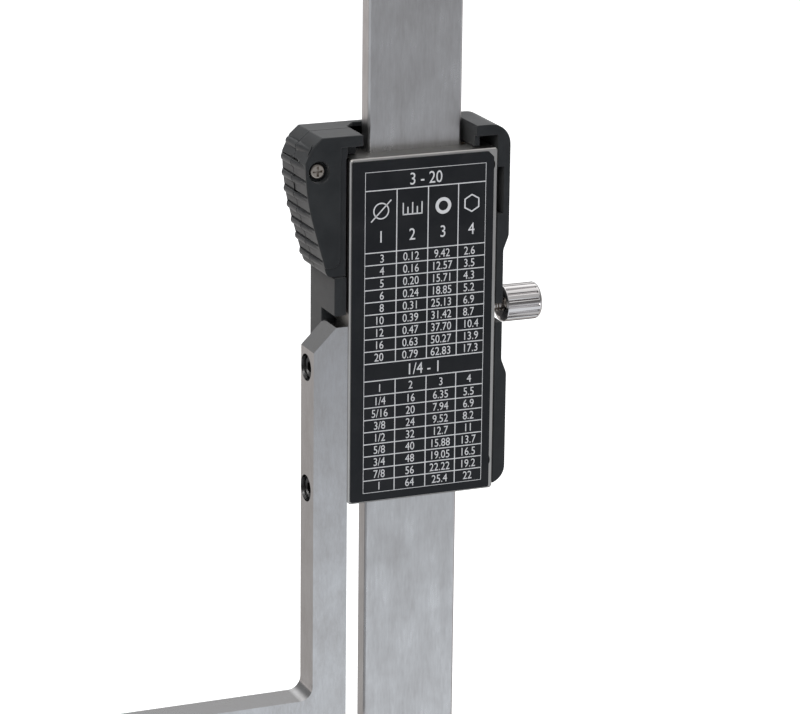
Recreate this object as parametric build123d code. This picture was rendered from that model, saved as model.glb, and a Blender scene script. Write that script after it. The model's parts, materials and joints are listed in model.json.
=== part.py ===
from build123d import *
import math
import os

# A small digital height gauge: a steel beam stands in a cast base, a slider with a display
# head runs on the beam, and an L-shaped arm on the slider's side carries a clamped scriber.
#
# Millimetres. +Z is up. The origin is on the base's ground underside, straight below the
# middle of the beam. The display faces -Y, and the measuring arm reaches out along +X.
# Head pieces are drawn with Z counted from the slider frame's lower edge, then lifted.

# ---- Driving dimensions ------------------------------------------------------------------

# Beam
beam_width = 16.0
beam_thickness = 3.2
beam_edge_chamfer = 0.35
beam_foot_z = 8.0            # lower end of the beam, inside the base
scale_width = 12.2
scale_thickness = 0.30
scale_recess = 0.35

# Measuring range and the height at which the gauge is shown
travel = 150.0
rest_height = 60.0

# Slider frame, a steel channel round the beam
frame_width = 25.2
frame_height = 56.7
back_wall = 3.85             # steel behind the beam
front_lip = 1.0              # steel lips in front of the beam's edges
lip_overlap = 1.35
frame_corner = 0.35
frame_back_edge = 0.175
running_gap = 0.05           # between the beam and what slides on it
gib_thickness = 0.8
gib_end_gap = 1.0
label_thickness = 0.20
label_margin_arm_side = 0.35
label_margin_lock_side = 0.72
label_margin_top = 0.5
label_margin_bottom = 0.30
label_corner = 0.3
label_cut_corner = 0.9

# Measuring arm
arm_width = 5.8              # across the side of the slider
arm_depth = 5.6              # front to back
arm_setback = 0.37           # arm's back face in front of the frame's back face
arm_top = 29.6               # above the frame's lower edge
arm_top_chamfer = 3.8
bar_top_drop = 32.8          # bar's top face below the frame's lower edge
bar_height = 8.0
bar_end_beyond_clamp = 6.0
inner_corner_radius = 2.2
bar_corner = 0.3
arm_corner = 0.1
arm_thread_depth = 3.64      # arm screws' bite in the frame's rail
arm_screw_heights = (2.4, 22.6)
arm_screw_from_front = 2.25  # screw axis behind the arm's front face
arm_counterbore_radius = 2.2
arm_counterbore_depth = 2.6

# Screws
m2_radius = 1.0
m2_head_radius = 1.9
m2_head_height = 2.0
m3_radius = 1.5
m3_head_radius = 2.75
m3_head_height = 3.0
small_radius = 0.8
small_head_radius = 1.3
small_head_height = 0.7
screw_head_gap = 0.035       # housing screws lie this far below the frame's back face
grub_slot_width = 0.3
grub_sink = 0.3              # grub screws end this far inside the frame's side
# Shape of a screw head, as shares of its radius or height
socket_edge_share = 0.12
socket_share = 0.52
socket_floor_share = 0.45
thread_end_share = 0.25
pan_round_share = 0.55
cross_length_share = 1.25
cross_width_share = 0.30
cross_floor_share = 0.75

# Lock screw
lock_height = 29.35
lock_radius = 1.225
lock_thread_gap = 0.05
lock_knob_radius = 3.05
lock_knob_length = 6.6
lock_knob_round = 0.85
lock_tip_chamfer = 0.245
lock_knob_start = 16.75      # distance of the knob's inner face from the beam's middle
lock_flutes = 18
lock_flute_radius = 0.28
lock_notch_radius = 3.15

# Moulded housing
housing_half_width = 14.95
waist_half_width = 14.05
housing_bottom = 0.5
housing_above_frame = 3.7
front_face_depth = 7.9       # front face in front of the beam's middle
front_bevel_in = 2.3
front_bevel_deep = 2.5
front_wall = 1.0
rim_setback = 0.3            # plastic rim in front of the frame's back face
frame_side_gap = 0.15
ear_corner_radius = 3.4
lower_corner_radius = 3.0
waist_below_lock = 9.05
waist_above_lock = 11.55
waist_slope = 2.3
waist_bend = 1.84
top_corner_radius = 1.0
beam_notch_arm_side = 10.25
beam_notch_lock_side = 9.05
top_wall = 1.75
top_recess_depth = 1.3        # recess in the top face, in front of the beam
top_recess_reach = 2.4
top_recess_corner = 1.8
ear_recess_width = 1.1
ear_recess_height = 7.7
ear_recess_drop = 7.0         # recess's upper end below the housing's top
ear_inner_wall = 0.9
ear_inner_wall_setback = 0.87
flange_above_arm = 1.9       # lower end of the rim on the arm side
arm_side_gap = 0.35

# Thumb grip at the arm side, closed by its own back shell
grip_reach = 19.85
grip_radius = 38.0
grip_length = 22.6
grip_crest_drop = 3.9        # below the housing's top
grip_shoulder_reach = 18.6
grip_shoulder_drop = 1.3
grip_top_reach = 17.1
grip_tilt = 15.6             # degrees, slant of its straight lower half
grip_foot_radius = 1.2
grip_wall = 1.3
grip_edge_chamfer = 0.15
rib_pitch = 2.62
rib_radius = 0.78
rib_rise = 0.4
rib_below_groove = 0.65
rib_groove_radius = 0.2
rib_first_drop = 1.5         # first groove below the housing's top
rib_last_margin = 1.5
rib_start_inset = 0.5
rib_end_inset = 0.4
rib_fade = 0.42              # how far the back shell's ribs sink toward their near ends
grip_screw_reach = 17.6
grip_screw_drop = 5.4
grip_screw_sink = 0.75
grip_screw_recess_radius = 1.75
grip_screw_bite = 3.0
grip_boss_radius = 2.5
step_width = 0.97            # sunk band along the grip's inner and lower edges
step_height = 1.6
step_corner = 1.4
step_depth = 0.3
grip_hollow_depth = 3.0      # hollow under the top wall, beside the beam

# Electronics
board_thickness = 1.0
board_side_gap = 0.3
board_end_gap = 0.3
board_top_gap = 0.5
board_hole_gap = 0.1
bottom_wall = 1.2
sensor_thickness = 0.85
sensor_side_gap = 0.15
sensor_bottom = 4.0
sensor_top_margin = 4.7      # below the frame's upper edge
display_width = 23.6
display_height = 14.6
display_thickness = 1.9
display_corner = 0.3
display_drop = 8.8           # display's middle below the front label's upper edge
connector_width = 1.8
connector_inset = 0.3
window_width = 22.4
window_height = 11.4
window_corner = 0.6
window_flange = 0.8
window_side_flange = 0.6
window_flange_thickness = 0.4
window_overlap = 0.6         # label's margin over the window
pane_gap = 0.02
front_label_half_width = 11.6
front_label_bottom = 3.6
front_label_to_cover = 1.6
front_label_corner = 1.2
front_label_thickness = 0.2
front_label_gap = 0.05
post_inset_x = 1.75          # housing posts and their screws, in from the frame's sides
post_bottom_margin = 4.8
post_top_margin = 2.7
post_radius = 1.7
post_screw_bite = 1.5
gib_access_radius = 1.2

# Keys
key_width = 6.2
key_height = 4.4
key_corner = 1.4
key_pitch = 7.6
key_rise = 7.6               # keys' middle above the front label's lower edge
key_proud = 0.6
key_edge = 0.27
key_travel = 0.35
key_free_travel = 0.05
key_gap = 0.12
key_flange = 0.5
key_flange_thickness = 0.5
switch_size = 3.0
switch_corner = 0.3
plunger_radius = 0.9

# Coin battery and its sliding cover
battery_radius = 10.0
battery_thickness = 3.2
battery_edge = 0.5
battery_gap = 0.3
battery_top_margin = 0.35    # below the housing's top wall
battery_sill = 0.5           # wall between the battery and the electronics
contact_thickness = 0.2
contact_half_width = 3.0
contact_end_gap = 0.2
cover_half_width = 10.8
cover_sill = 0.1             # cover reaches this far below the battery
cover_gap = 0.1
cover_tongue = 0.7
cover_tongue_thickness = 0.5
cover_groove_count = 4
cover_groove_rise = 3.8      # first finger groove above the cover's lower edge
cover_groove_pitch = 1.6
cover_groove_width = 0.7
cover_groove_depth = 0.3
cover_groove_half_length = 4.86

# End stop on the beam's top
stop_half_width = 9.6
stop_wall = 2.4
stop_corner = 1.44
stop_grip = 6.0
stop_cap = 1.6
stop_cap_edge = 0.64
stop_clearance = 1.6
stop_screw_spacing = 8.0
stop_screw_head_radius = 1.7
stop_screw_head_gap = 0.1

# Scriber and its clamp
scriber_drop = 4.5           # measuring face below the shank's underside
shank_height = 5.0
shank_length = 36.0
nose_length = 20.0
nose_slope = 2.7
tip_length = 9.0
tip_root = 3.42
tip_edge = 0.8
tip_edge_height = 0.4
clamp_start = 73.0
clamp_length = 10.0
clamp_wall = 2.4
clamp_top_wall = 4.0
clamp_corner = 0.8
shank_start_before_clamp = 8.0
clamp_knob_radius = 5.0
clamp_knob_height = 7.0
clamp_knob_round = 1.2
clamp_knob_lift = 1.2
clamp_flutes = 20
clamp_flute_radius = 0.45

# Base
base_length = 80.0
base_width = 60.0
base_height = 28.0
base_arm_side_gap = 1.0      # base stays this far from the measuring arm
base_corner_radius = 6.0
base_edge_radius = 3.0
base_waist_radius = 42.0
base_waist_depth = 6.0
base_relief = 1.0
base_relief_width = 40.0
base_relief_corner = 3.0
base_rim = 9.0
pillar_rise = 16.0           # above the base casting's top face
pillar_length = 27.0
pillar_depth = 11.0
pillar_edge = 2.0
pillar_top_edge = 1.0
clamp_plate_thickness = 3.5
clamp_plate_gap = 1.0
clamp_plate_edge = 1.0
base_screw_margin = 4.6      # screw axes in from the pillar's lower and upper end
base_screw_depth = 5.5

# How far a cut runs on past the face that it opens
beyond = 1.0

# ---- Places worked out from the driving dimensions ---------------------------------------

sqrt_half = math.sqrt(0.5)
beam_half = beam_width / 2
beam_front = -beam_thickness / 2
beam_back = beam_thickness / 2
frame_half = frame_width / 2
channel_half = beam_half + running_gap
gib_outer = channel_half + gib_thickness
channel_front = beam_front - running_gap
channel_back = beam_back + running_gap
frame_front = channel_front - front_lip
frame_back = channel_back + back_wall
lip_inner = beam_half - lip_overlap

arm_back = frame_back - arm_setback
arm_front = arm_back - arm_depth
arm_outer = frame_half + arm_width
arm_screw_y = arm_front + arm_screw_from_front
split_plane = arm_front      # joint plane of the two housing shells, and the arm's seat
rim_back = frame_back - rim_setback
housing_front_y = -front_face_depth
front_inner_y = housing_front_y + front_wall
bevel_start_y = housing_front_y + front_bevel_deep
pocket_half = frame_half + frame_side_gap
housing_top = frame_height + housing_above_frame
pocket_top = frame_height + frame_side_gap
waist_low = lock_height - waist_below_lock
waist_high = lock_height + waist_above_lock
flange_bottom = arm_top + flange_above_arm
gib_screw_heights = (lock_height - frame_height / 4, lock_height + frame_height / 4)
rib_front_y = bevel_start_y + rib_end_inset
rib_back_y = rim_back - rib_start_inset

grip_inner = frame_half + arm_side_gap
grip_bottom = housing_top - grip_length
grip_crest_height = housing_top - grip_crest_drop
grip_shoulder = (grip_shoulder_reach, housing_top - grip_shoulder_drop)
grip_screw_at = (grip_screw_reach, housing_top - grip_screw_drop)
grip_screw_seat = rim_back - grip_screw_sink - small_head_height
grip_slant = math.tan(math.radians(grip_tilt))
grip_bend_x = grip_reach - grip_radius * (1 - math.cos(math.radians(grip_tilt)))
grip_bend_height = grip_crest_height - grip_radius * math.sin(math.radians(grip_tilt))
first_groove = housing_top - rib_first_drop
rib_count = int((first_groove - rib_last_margin - grip_bottom) / rib_pitch) + 1
post_heights = (post_bottom_margin, frame_height - post_top_margin)

battery_centre = housing_top - top_wall - battery_top_margin - battery_radius
cover_bottom = battery_centre - battery_radius - cover_sill
electronics_top = battery_centre - battery_radius - battery_gap - battery_sill
board_bottom = housing_bottom + bottom_wall + board_end_gap
board_top = electronics_top - board_top_gap
sensor_top = frame_height - sensor_top_margin
front_label_top = cover_bottom - front_label_to_cover
display_centre = front_label_top - display_drop
key_centre = front_label_bottom + key_rise

board_front = frame_front - board_thickness
display_back = front_inner_y + window_flange_thickness + display_thickness
key_front = housing_front_y - key_proud
key_inner = front_inner_y + key_flange_thickness
switch_front = key_inner + key_travel + key_free_travel
battery_front = front_inner_y + battery_gap
battery_back = battery_front + battery_thickness
battery_floor = battery_back + contact_thickness

bar_top = -bar_top_drop
bar_bottom = bar_top - bar_height
shank_top = bar_bottom - running_gap
shank_bottom = shank_top - shank_height
nose_bottom = shank_bottom - scriber_drop
slider_z_zero = -nose_bottom          # scriber face level with the base's underside
head_z = slider_z_zero + rest_height
clamp_end = clamp_start + clamp_length
bar_end = clamp_end + bar_end_beyond_clamp
shank_start = clamp_start - shank_start_before_clamp
shank_end = shank_start + shank_length
nose_end = shank_end + nose_length
scriber_end = nose_end + tip_length

beam_top = slider_z_zero + travel + housing_top + stop_clearance + stop_grip
stop_bottom = beam_top - stop_grip
base_arm_side = frame_half - base_arm_side_gap
base_far_side = base_arm_side - base_length
pillar_top = base_height + pillar_rise
base_screw_heights = (base_height + base_screw_margin, pillar_top - base_screw_margin)


# ---- Helpers -----------------------------------------------------------------------------

def block(x0, x1, y0, y1, z0, z1):
    """A box between two corners."""
    return Pos((x0 + x1) / 2, (y0 + y1) / 2, (z0 + z1) / 2) * Box(x1 - x0, y1 - y0, z1 - z0)


def prism(outline, y_back, y_front):
    """An outline drawn in X and Z, carried from y_back forward to y_front."""
    return extrude(Plane.XZ.offset(-y_back) * outline, amount=y_back - y_front)


def disc(x, z, radius, y_back, y_front):
    """A cylinder along Y."""
    return prism(Pos(x, z) * Circle(radius), y_back, y_front)


def slab(width, height, corner, x, z, y_back, y_front):
    """A plate with round corners, facing along Y."""
    return prism(Pos(x, z) * RectangleRounded(width, height, corner), y_back, y_front)


def lifted(shape):
    """Head pieces go up to the height at which the gauge is shown."""
    return Pos(0, 0, head_z) * shape


def socket_screw(radius, head_radius, head_height, length):
    """Socket-head cap screw along Z: head above z = 0, shank below."""
    head = Cylinder(head_radius, head_height, align=(Align.CENTER, Align.CENTER, Align.MIN))
    head = chamfer(head.edges().sort_by(Axis.Z)[-1], head_radius * socket_edge_share)
    hexagon = RegularPolygon(head_radius * socket_share, 6)
    socket = Pos(0, 0, head_height * socket_floor_share) * extrude(hexagon, amount=head_height)
    shank = Cylinder(radius, length, align=(Align.CENTER, Align.CENTER, Align.MAX))
    shank = chamfer(shank.edges().sort_by(Axis.Z)[0], radius * thread_end_share)
    return head + shank - socket


def cross_screw(radius, head_radius, head_height, length):
    """Cross-recess pan-head screw along Z: head above z = 0, shank below."""
    head = Cylinder(head_radius, head_height, align=(Align.CENTER, Align.CENTER, Align.MIN))
    head = fillet(head.edges().sort_by(Axis.Z)[-1], head_height * pan_round_share)
    long_side = head_radius * cross_length_share
    short_side = head_radius * cross_width_share
    cross = Box(long_side, short_side, head_height) + Box(short_side, long_side, head_height)
    recess = Pos(0, 0, head_height * cross_floor_share) * cross
    shank = Cylinder(radius, length, align=(Align.CENTER, Align.CENTER, Align.MAX))
    shank = chamfer(shank.edges().sort_by(Axis.Z)[0], radius * thread_end_share)
    return head + shank - recess


def fluted_knob(radius, length, flutes, flute_radius, end_round):
    """Straight-knurled knob along Z from z = 0, with a bevelled rim and a round end."""
    flute = Circle(flute_radius)
    section = Circle(radius) - PolarLocations(radius + flute_radius / 3, flutes) * flute
    knob = extrude(section, amount=length)
    turned = Cylinder(radius, length, align=(Align.CENTER, Align.CENTER, Align.MIN))
    turned = fillet(turned.edges().sort_by(Axis.Z)[-1], end_round)
    turned = chamfer(turned.edges().sort_by(Axis.Z)[0], flute_radius)
    return knob & turned


def along_y(shape, x, y, z):
    """Turn a screw drawn along +Z so that its head faces +Y."""
    return Pos(x, y, z) * Rot(-90, 0, 0) * shape


def along_x(shape, x, y, z):
    """Turn a screw drawn along +Z so that its head faces +X."""
    return Pos(x, y, z) * Rot(0, 90, 0) * shape


# ---- Base and beam -----------------------------------------------------------------------

def make_beam():
    beam = block(-beam_half, beam_half, beam_front, beam_back, beam_foot_z, beam_top)
    beam = chamfer(beam.edges().filter_by(Axis.Z), beam_edge_chamfer)
    recess_half = scale_width / 2 + running_gap
    beam -= block(-recess_half, recess_half, beam_front, beam_front + scale_recess,
                  pillar_top, beam_top)
    for height in base_screw_heights:
        beam -= disc(0, height, m3_radius, beam_back, beam_front)
    for side in (-1, 1):
        x = side * stop_screw_spacing / 2
        beam -= disc(x, stop_bottom + stop_grip / 2, m2_radius, beam_back, beam_front)
    return beam


def make_scale_strip():
    strip_back = beam_front + scale_recess
    return block(-scale_width / 2, scale_width / 2, strip_back - scale_thickness, strip_back,
                 pillar_top + running_gap, stop_bottom)


def base_outline():
    middle = (base_far_side + base_arm_side) / 2
    outline = Pos(middle, 0) * RectangleRounded(base_length, base_width, base_corner_radius)
    waist_y = base_width / 2 - base_waist_depth + base_waist_radius
    for side in (-1, 1):
        outline -= Pos(middle, side * waist_y) * Circle(base_waist_radius)
    return outline


def make_base_casting():
    body = extrude(base_outline(), amount=base_height)
    body = fillet(body.edges().group_by(Axis.Z)[-1], base_edge_radius)
    pillar_far_side = base_arm_side - pillar_length
    pillar = block(pillar_far_side, base_arm_side, -pillar_depth, beam_back, 0, pillar_top)
    pillar = chamfer(pillar.edges().filter_by(Axis.Z).sort_by(Axis.Y)[:2], pillar_edge)
    pillar = chamfer(pillar.edges().group_by(Axis.Z)[-1].sort_by(Axis.Y)[:-1], pillar_top_edge)
    body += pillar
    body -= block(-beam_half, beam_half, beam_front, beam_back, beam_foot_z, pillar_top)
    relief_length = base_length - pillar_length - base_rim
    relief = RectangleRounded(relief_length, base_relief_width, base_relief_corner)
    body -= extrude(Pos((base_far_side + pillar_far_side) / 2, 0) * relief, amount=base_relief)
    for height in base_screw_heights:
        body -= disc(0, height, m3_radius, beam_front, beam_front - base_screw_depth)
    return body


def make_clamp_plate():
    plate_back = beam_back + clamp_plate_thickness
    plate = block(base_arm_side - pillar_length, base_arm_side, beam_back, plate_back,
                  base_height, pillar_top - clamp_plate_gap)
    plate = chamfer(plate.edges().filter_by(Axis.Y), clamp_plate_edge)
    for height in base_screw_heights:
        plate -= disc(0, height, m3_radius, plate_back, beam_back)
    return plate


def make_clamp_plate_screws():
    seat = beam_back + clamp_plate_thickness
    length = clamp_plate_thickness + beam_thickness + base_screw_depth
    screw = socket_screw(m3_radius, m3_head_radius, m3_head_height, length)
    return [along_y(screw, 0, seat, height) for height in base_screw_heights]


def make_end_stop():
    half_depth = beam_back + stop_wall
    stop = block(-stop_half_width, stop_half_width, -half_depth, half_depth,
                 stop_bottom, beam_top + stop_cap)
    stop = fillet(stop.edges().filter_by(Axis.Z), stop_corner)
    stop = chamfer(stop.edges().group_by(Axis.Z)[-1], stop_cap_edge)
    stop -= block(-beam_half, beam_half, beam_front, beam_back, stop_bottom, beam_top)
    for side in (-1, 1):
        x = side * stop_screw_spacing / 2
        z = stop_bottom + stop_grip / 2
        stop -= disc(x, z, m2_radius, half_depth, beam_front - stop_wall / 2)
        stop -= disc(x, z, stop_screw_head_radius + stop_screw_head_gap,
                     half_depth, half_depth - small_head_height)
    return stop


def make_end_stop_screws():
    seat = beam_back + stop_wall - small_head_height
    length = seat - beam_front + stop_wall / 2
    screw = cross_screw(m2_radius, stop_screw_head_radius, small_head_height, length)
    z = stop_bottom + stop_grip / 2
    return [along_y(screw, side * stop_screw_spacing / 2, seat, z) for side in (-1, 1)]


# ---- Slider frame and arm ----------------------------------------------------------------

def make_slider_frame():
    frame = block(-frame_half, frame_half, frame_front, frame_back, 0, frame_height)
    frame = chamfer(frame.edges().filter_by(Axis.Y), frame_corner)
    frame = chamfer(frame.faces().sort_by(Axis.Y)[-1].edges(), frame_back_edge)
    frame -= block(-gib_outer, channel_half, channel_front, channel_back, 0, frame_height)
    frame -= block(-lip_inner, lip_inner, frame_front, channel_front, 0, frame_height)
    rail = block(-frame_half, -gib_outer + running_gap, frame_front, frame_back, 0, frame_height)
    lock_bore = along_x(Cylinder(lock_radius + lock_thread_gap, frame_width), -frame_half, 0, lock_height)
    frame -= rail & lock_bore
    for height in gib_screw_heights:
        frame -= rail & along_x(Cylinder(m2_radius, frame_width), -frame_half, 0, height)
    for height in arm_screw_heights:
        frame -= along_x(Cylinder(m2_radius, 2 * arm_thread_depth), frame_half, arm_screw_y, height)
    for x, z in post_places():
        frame -= disc(x, z, small_radius, frame_back, frame_front)
        frame -= disc(x, z, small_head_radius, frame_back, frame_back - small_head_height)
    return frame


def make_gib_strip():
    return block(-gib_outer, -channel_half, channel_front + running_gap, channel_back - running_gap,
                 gib_end_gap, frame_height - gib_end_gap)


def make_gib_screws():
    length = frame_half - gib_outer - grub_sink
    slot = Box(2 * m2_radius, grub_slot_width, m2_radius)
    grub = Cylinder(m2_radius, length) - Pos(0, 0, length / 2) * slot
    x = -gib_outer - length / 2
    return [Pos(x, 0, height) * Rot(0, -90, 0) * grub for height in gib_screw_heights]


def make_back_label():
    width = frame_width - label_margin_arm_side - label_margin_lock_side
    height = frame_height - label_margin_top - label_margin_bottom
    x = (label_margin_lock_side - label_margin_arm_side) / 2
    z = (label_margin_bottom - label_margin_top) / 2 + frame_height / 2
    sheet = slab(width, height, label_corner, x, z, frame_back + label_thickness, frame_back)
    cut = label_cut_corner / sqrt_half
    corner = Pos(x - width / 2, z + height / 2) * Rot(0, 0, 45) * Rectangle(cut, cut)
    return sheet - prism(corner, frame_back + label_thickness, frame_back)


def make_measuring_arm():
    """L-shaped bar: the leg lies against the slider's side, the foot reaches out to the scriber."""
    points = [
        (frame_half, bar_bottom),
        (bar_end, bar_bottom),
        (bar_end, bar_top),
        (arm_outer, bar_top),
        (arm_outer, arm_top - arm_top_chamfer),
        (arm_outer - arm_top_chamfer, arm_top),
        (frame_half, arm_top),
    ]
    radii = [inner_corner_radius, bar_corner, bar_corner, inner_corner_radius,
             arm_corner, arm_corner, arm_corner]
    outline = make_face(FilletPolyline(*points, radius=radii, close=True))
    arm = prism(outline, arm_back, arm_front)
    for height in arm_screw_heights:
        counterbore = Cylinder(arm_counterbore_radius, 2 * arm_counterbore_depth)
        bore = Cylinder(m2_radius, 2 * arm_width)
        arm -= along_x(counterbore + bore, arm_outer, arm_screw_y, height)
    return arm


def make_arm_screws():
    seat = arm_outer - arm_counterbore_depth
    length = seat - frame_half + arm_thread_depth
    screw = socket_screw(m2_radius, m2_head_radius, m2_head_height, length)
    return [along_x(screw, seat, arm_screw_y, height) for height in arm_screw_heights]


def make_lock_screw():
    tip = gib_outer + lock_thread_gap
    shank = Cylinder(lock_radius, lock_knob_start - tip, align=(Align.CENTER, Align.CENTER, Align.MAX))
    shank = chamfer(shank.edges().sort_by(Axis.Z)[0], lock_tip_chamfer)
    knob = fluted_knob(lock_knob_radius, lock_knob_length, lock_flutes, lock_flute_radius, lock_knob_round)
    return Pos(-lock_knob_start, 0, lock_height) * Rot(0, -90, 0) * (knob + shank)


# ---- Moulded housing ---------------------------------------------------------------------

def body_outline():
    """The housing's outline without the thumb grip."""
    half = housing_half_width
    waist = waist_half_width
    points = [
        (half, housing_bottom),
        (half, housing_top),
        (-half, housing_top),
        (-half, waist_high + waist_slope / 2),
        (-waist, waist_high - waist_slope / 2),
        (-waist, waist_low + waist_slope / 2),
        (-half, waist_low - waist_slope / 2),
        (-half, housing_bottom),
    ]
    radii = [lower_corner_radius, top_corner_radius, ear_corner_radius,
             waist_bend, waist_bend, waist_bend, waist_bend, lower_corner_radius]
    return make_face(FilletPolyline(*points, radius=radii, close=True))


def grip_point(height):
    """X of the grip's smooth outline at a height: shoulder line, arc, then a slanted line."""
    if height > grip_crest_height:
        share = (height - grip_crest_height) / (grip_shoulder[1] - grip_crest_height)
        return grip_reach + share * (grip_shoulder_reach - grip_reach)
    if height > grip_bend_height:
        fall = grip_crest_height - height
        return grip_reach - grip_radius + math.sqrt(grip_radius ** 2 - fall ** 2)
    return grip_bend_x - (grip_bend_height - height) * grip_slant


def grip_outline():
    """The smooth outline of the thumb grip, from the beam's notch out to its curve."""
    bend = (grip_bend_x, grip_bend_height)
    crest = (grip_reach, grip_crest_height)
    middle = (grip_bend_height + grip_crest_height) / 2
    foot = (grip_point(grip_bottom), grip_bottom)
    edges = [
        ThreePointArc(bend, (grip_point(middle), middle), crest),
        Polyline(crest, grip_shoulder, (grip_top_reach, housing_top), (grip_inner, housing_top),
                 (grip_inner, grip_bottom), foot, bend),
    ]
    face = make_face(edges)
    return fillet(face.vertices().sort_by_distance((*foot, 0))[0], grip_foot_radius)


def along_grip(radius, inset, drop, first):
    """Circles along the grip's outline, one for each groove, a little inside it."""
    circles = []
    for index in range(first, rib_count):
        height = first_groove - index * rib_pitch - drop
        lean = grip_point(height + drop) - grip_point(height - drop)
        length = math.hypot(2 * drop, lean)
        x = grip_point(height) - inset * 2 * drop / length
        circles.append(Pos(x, height + inset * lean / length) * Circle(radius))
    return Sketch() + circles


def rib_outline():
    """Rounded ribs, each just below its groove."""
    return along_grip(rib_radius, rib_radius - rib_rise, rib_below_groove, 0)


def groove_outline():
    """Fine grooves above the ribs; the first rib lies under the bare shoulder."""
    return along_grip(rib_groove_radius, rib_groove_radius / 2, rib_groove_radius / 4, 1)


def bevelled(outline, y_back):
    """Carry an outline forward to the front face, with a broad bevel round its front edge."""
    slope = math.degrees(math.atan2(front_bevel_in, front_bevel_deep))
    bevel = extrude(Plane.XZ.offset(-bevel_start_y) * outline, amount=front_bevel_deep, taper=slope)
    return prism(outline, y_back, bevel_start_y) + bevel


def front_shell_envelope():
    whole = body_outline() + grip_outline()
    return bevelled(whole, split_plane)


def cover_space(gap):
    """Room for the battery cover and its side tongues; gap 0 gives the cover itself."""
    half = cover_half_width + gap
    tongue_half = cover_half_width + cover_tongue + gap
    tongue_front = front_inner_y - cover_tongue_thickness - gap
    low = cover_bottom - gap
    high = housing_top + beyond
    plate = block(-half, half, housing_front_y - beyond, front_inner_y + gap, low, high)
    return plate + block(-tongue_half, tongue_half, tongue_front, front_inner_y + gap, low, high)


def key_places():
    return [(column * key_pitch, key_centre) for column in (-1, 0, 1)]


def key_openings():
    """Openings in the front wall and its label, a little larger than the keys."""
    opening = slab(key_width + 2 * key_gap, key_height + 2 * key_gap, key_corner + key_gap,
                   0, 0, front_inner_y, housing_front_y)
    return Part() + [Pos(x, 0, z) * opening for x, z in key_places()]


def make_housing_front():
    shell = front_shell_envelope()
    # Ribs and grooves of the thumb grip
    shell += prism(rib_outline(), split_plane, rib_front_y)
    shell -= prism(groove_outline(), split_plane, rib_front_y)
    # Rim that runs back beside the slider frame on the lock side and over its top
    rim = prism(body_outline(), rim_back, split_plane)
    rim_lock = rim & block(-housing_half_width, -pocket_half, split_plane, rim_back,
                           housing_bottom, housing_top)
    rim_top = rim & block(-housing_half_width, -beam_notch_lock_side, split_plane, rim_back,
                          housing_top - top_wall, housing_top)
    inner_wall = block(-beam_notch_lock_side - ear_inner_wall, -beam_notch_lock_side, split_plane,
                       rim_back - ear_inner_wall_setback, pocket_top, housing_top)
    flange = rim & block(grip_inner, housing_half_width, split_plane, rim_back,
                         flange_bottom, grip_bottom - frame_side_gap)
    shell = shell + rim_lock + rim_top + inner_wall + flange
    # Recess beside the frame's upper half, inside the rim
    recess_top = housing_top - ear_recess_drop
    shell -= block(-pocket_half - ear_recess_width, -pocket_half, split_plane, rim_back,
                   recess_top - ear_recess_height, recess_top)
    # Pocket for the slider frame and notch for the beam
    shell -= block(-pocket_half, pocket_half, frame_front, split_plane, housing_bottom - beyond, pocket_top)
    shell -= block(-beam_notch_lock_side, beam_notch_arm_side, channel_front - running_gap, split_plane,
                   frame_height, housing_top + beyond)
    # Recess in the top face, in front of the beam
    left, right = -beam_notch_lock_side, beam_notch_arm_side
    recess_front = channel_front - top_recess_reach
    recess = Polyline((left, channel_front), (left + top_recess_corner, recess_front),
                      (right - top_recess_corner, recess_front), (right, channel_front), close=True)
    shell -= extrude(Plane.XY.offset(housing_top) * make_face(recess), amount=-top_recess_depth)
    # Room for the electronics, behind the front wall
    shell -= block(-pocket_half, pocket_half, front_inner_y, frame_front,
                   housing_bottom + bottom_wall, electronics_top)
    # Hollow inside the thumb grip, with a post for its screw
    solid_core = Rectangle(2 * (housing_half_width + grip_wall), 4 * housing_top)
    hollow = offset(grip_outline(), amount=-grip_wall) - solid_core
    grip_hollow = prism(hollow, split_plane, front_inner_y + grip_wall)
    grip_hollow -= disc(*grip_screw_at, grip_boss_radius, split_plane, housing_front_y)
    shell -= grip_hollow
    shell -= disc(*grip_screw_at, small_radius, split_plane, front_inner_y + grip_wall)
    # Battery pocket, the way of its contact and the cover's slideway
    pocket = disc(0, battery_centre, battery_radius + battery_gap, battery_floor, front_inner_y)
    shell -= pocket + cover_space(cover_gap)
    shell -= block(-contact_half_width - cover_gap, contact_half_width + cover_gap,
                   battery_back, battery_floor, board_top, battery_centre)
    # Window and key openings
    shell -= slab(window_width, window_height, window_corner, 0, display_centre,
                  front_inner_y, housing_front_y)
    shell -= key_openings()
    # Seat for the front label
    shell -= front_label_sheet(front_label_gap)
    # Notch in the rim for the lock screw, and ways to the gib screws
    rim_x = -housing_half_width - beyond / 2
    across_rim = 2 * (housing_half_width - pocket_half + beyond)
    shell -= along_x(Cylinder(lock_notch_radius, across_rim), rim_x, 0, lock_height)
    shell -= block(-housing_half_width - beyond, -pocket_half, 0, rim_back,
                   lock_height - lock_notch_radius, lock_height + lock_notch_radius)
    for height in gib_screw_heights:
        shell -= along_x(Cylinder(gib_access_radius, across_rim), rim_x, 0, height)
    # Posts for the screws that hold the housing on the frame
    for x, z in post_places():
        shell += disc(x, z, post_radius, board_front, front_inner_y)
        shell -= disc(x, z, small_radius, frame_front, front_inner_y + front_wall)
    return shell


def post_places():
    return [(side * (frame_half - post_inset_x), height) for side in (-1, 1) for height in post_heights]


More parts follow.
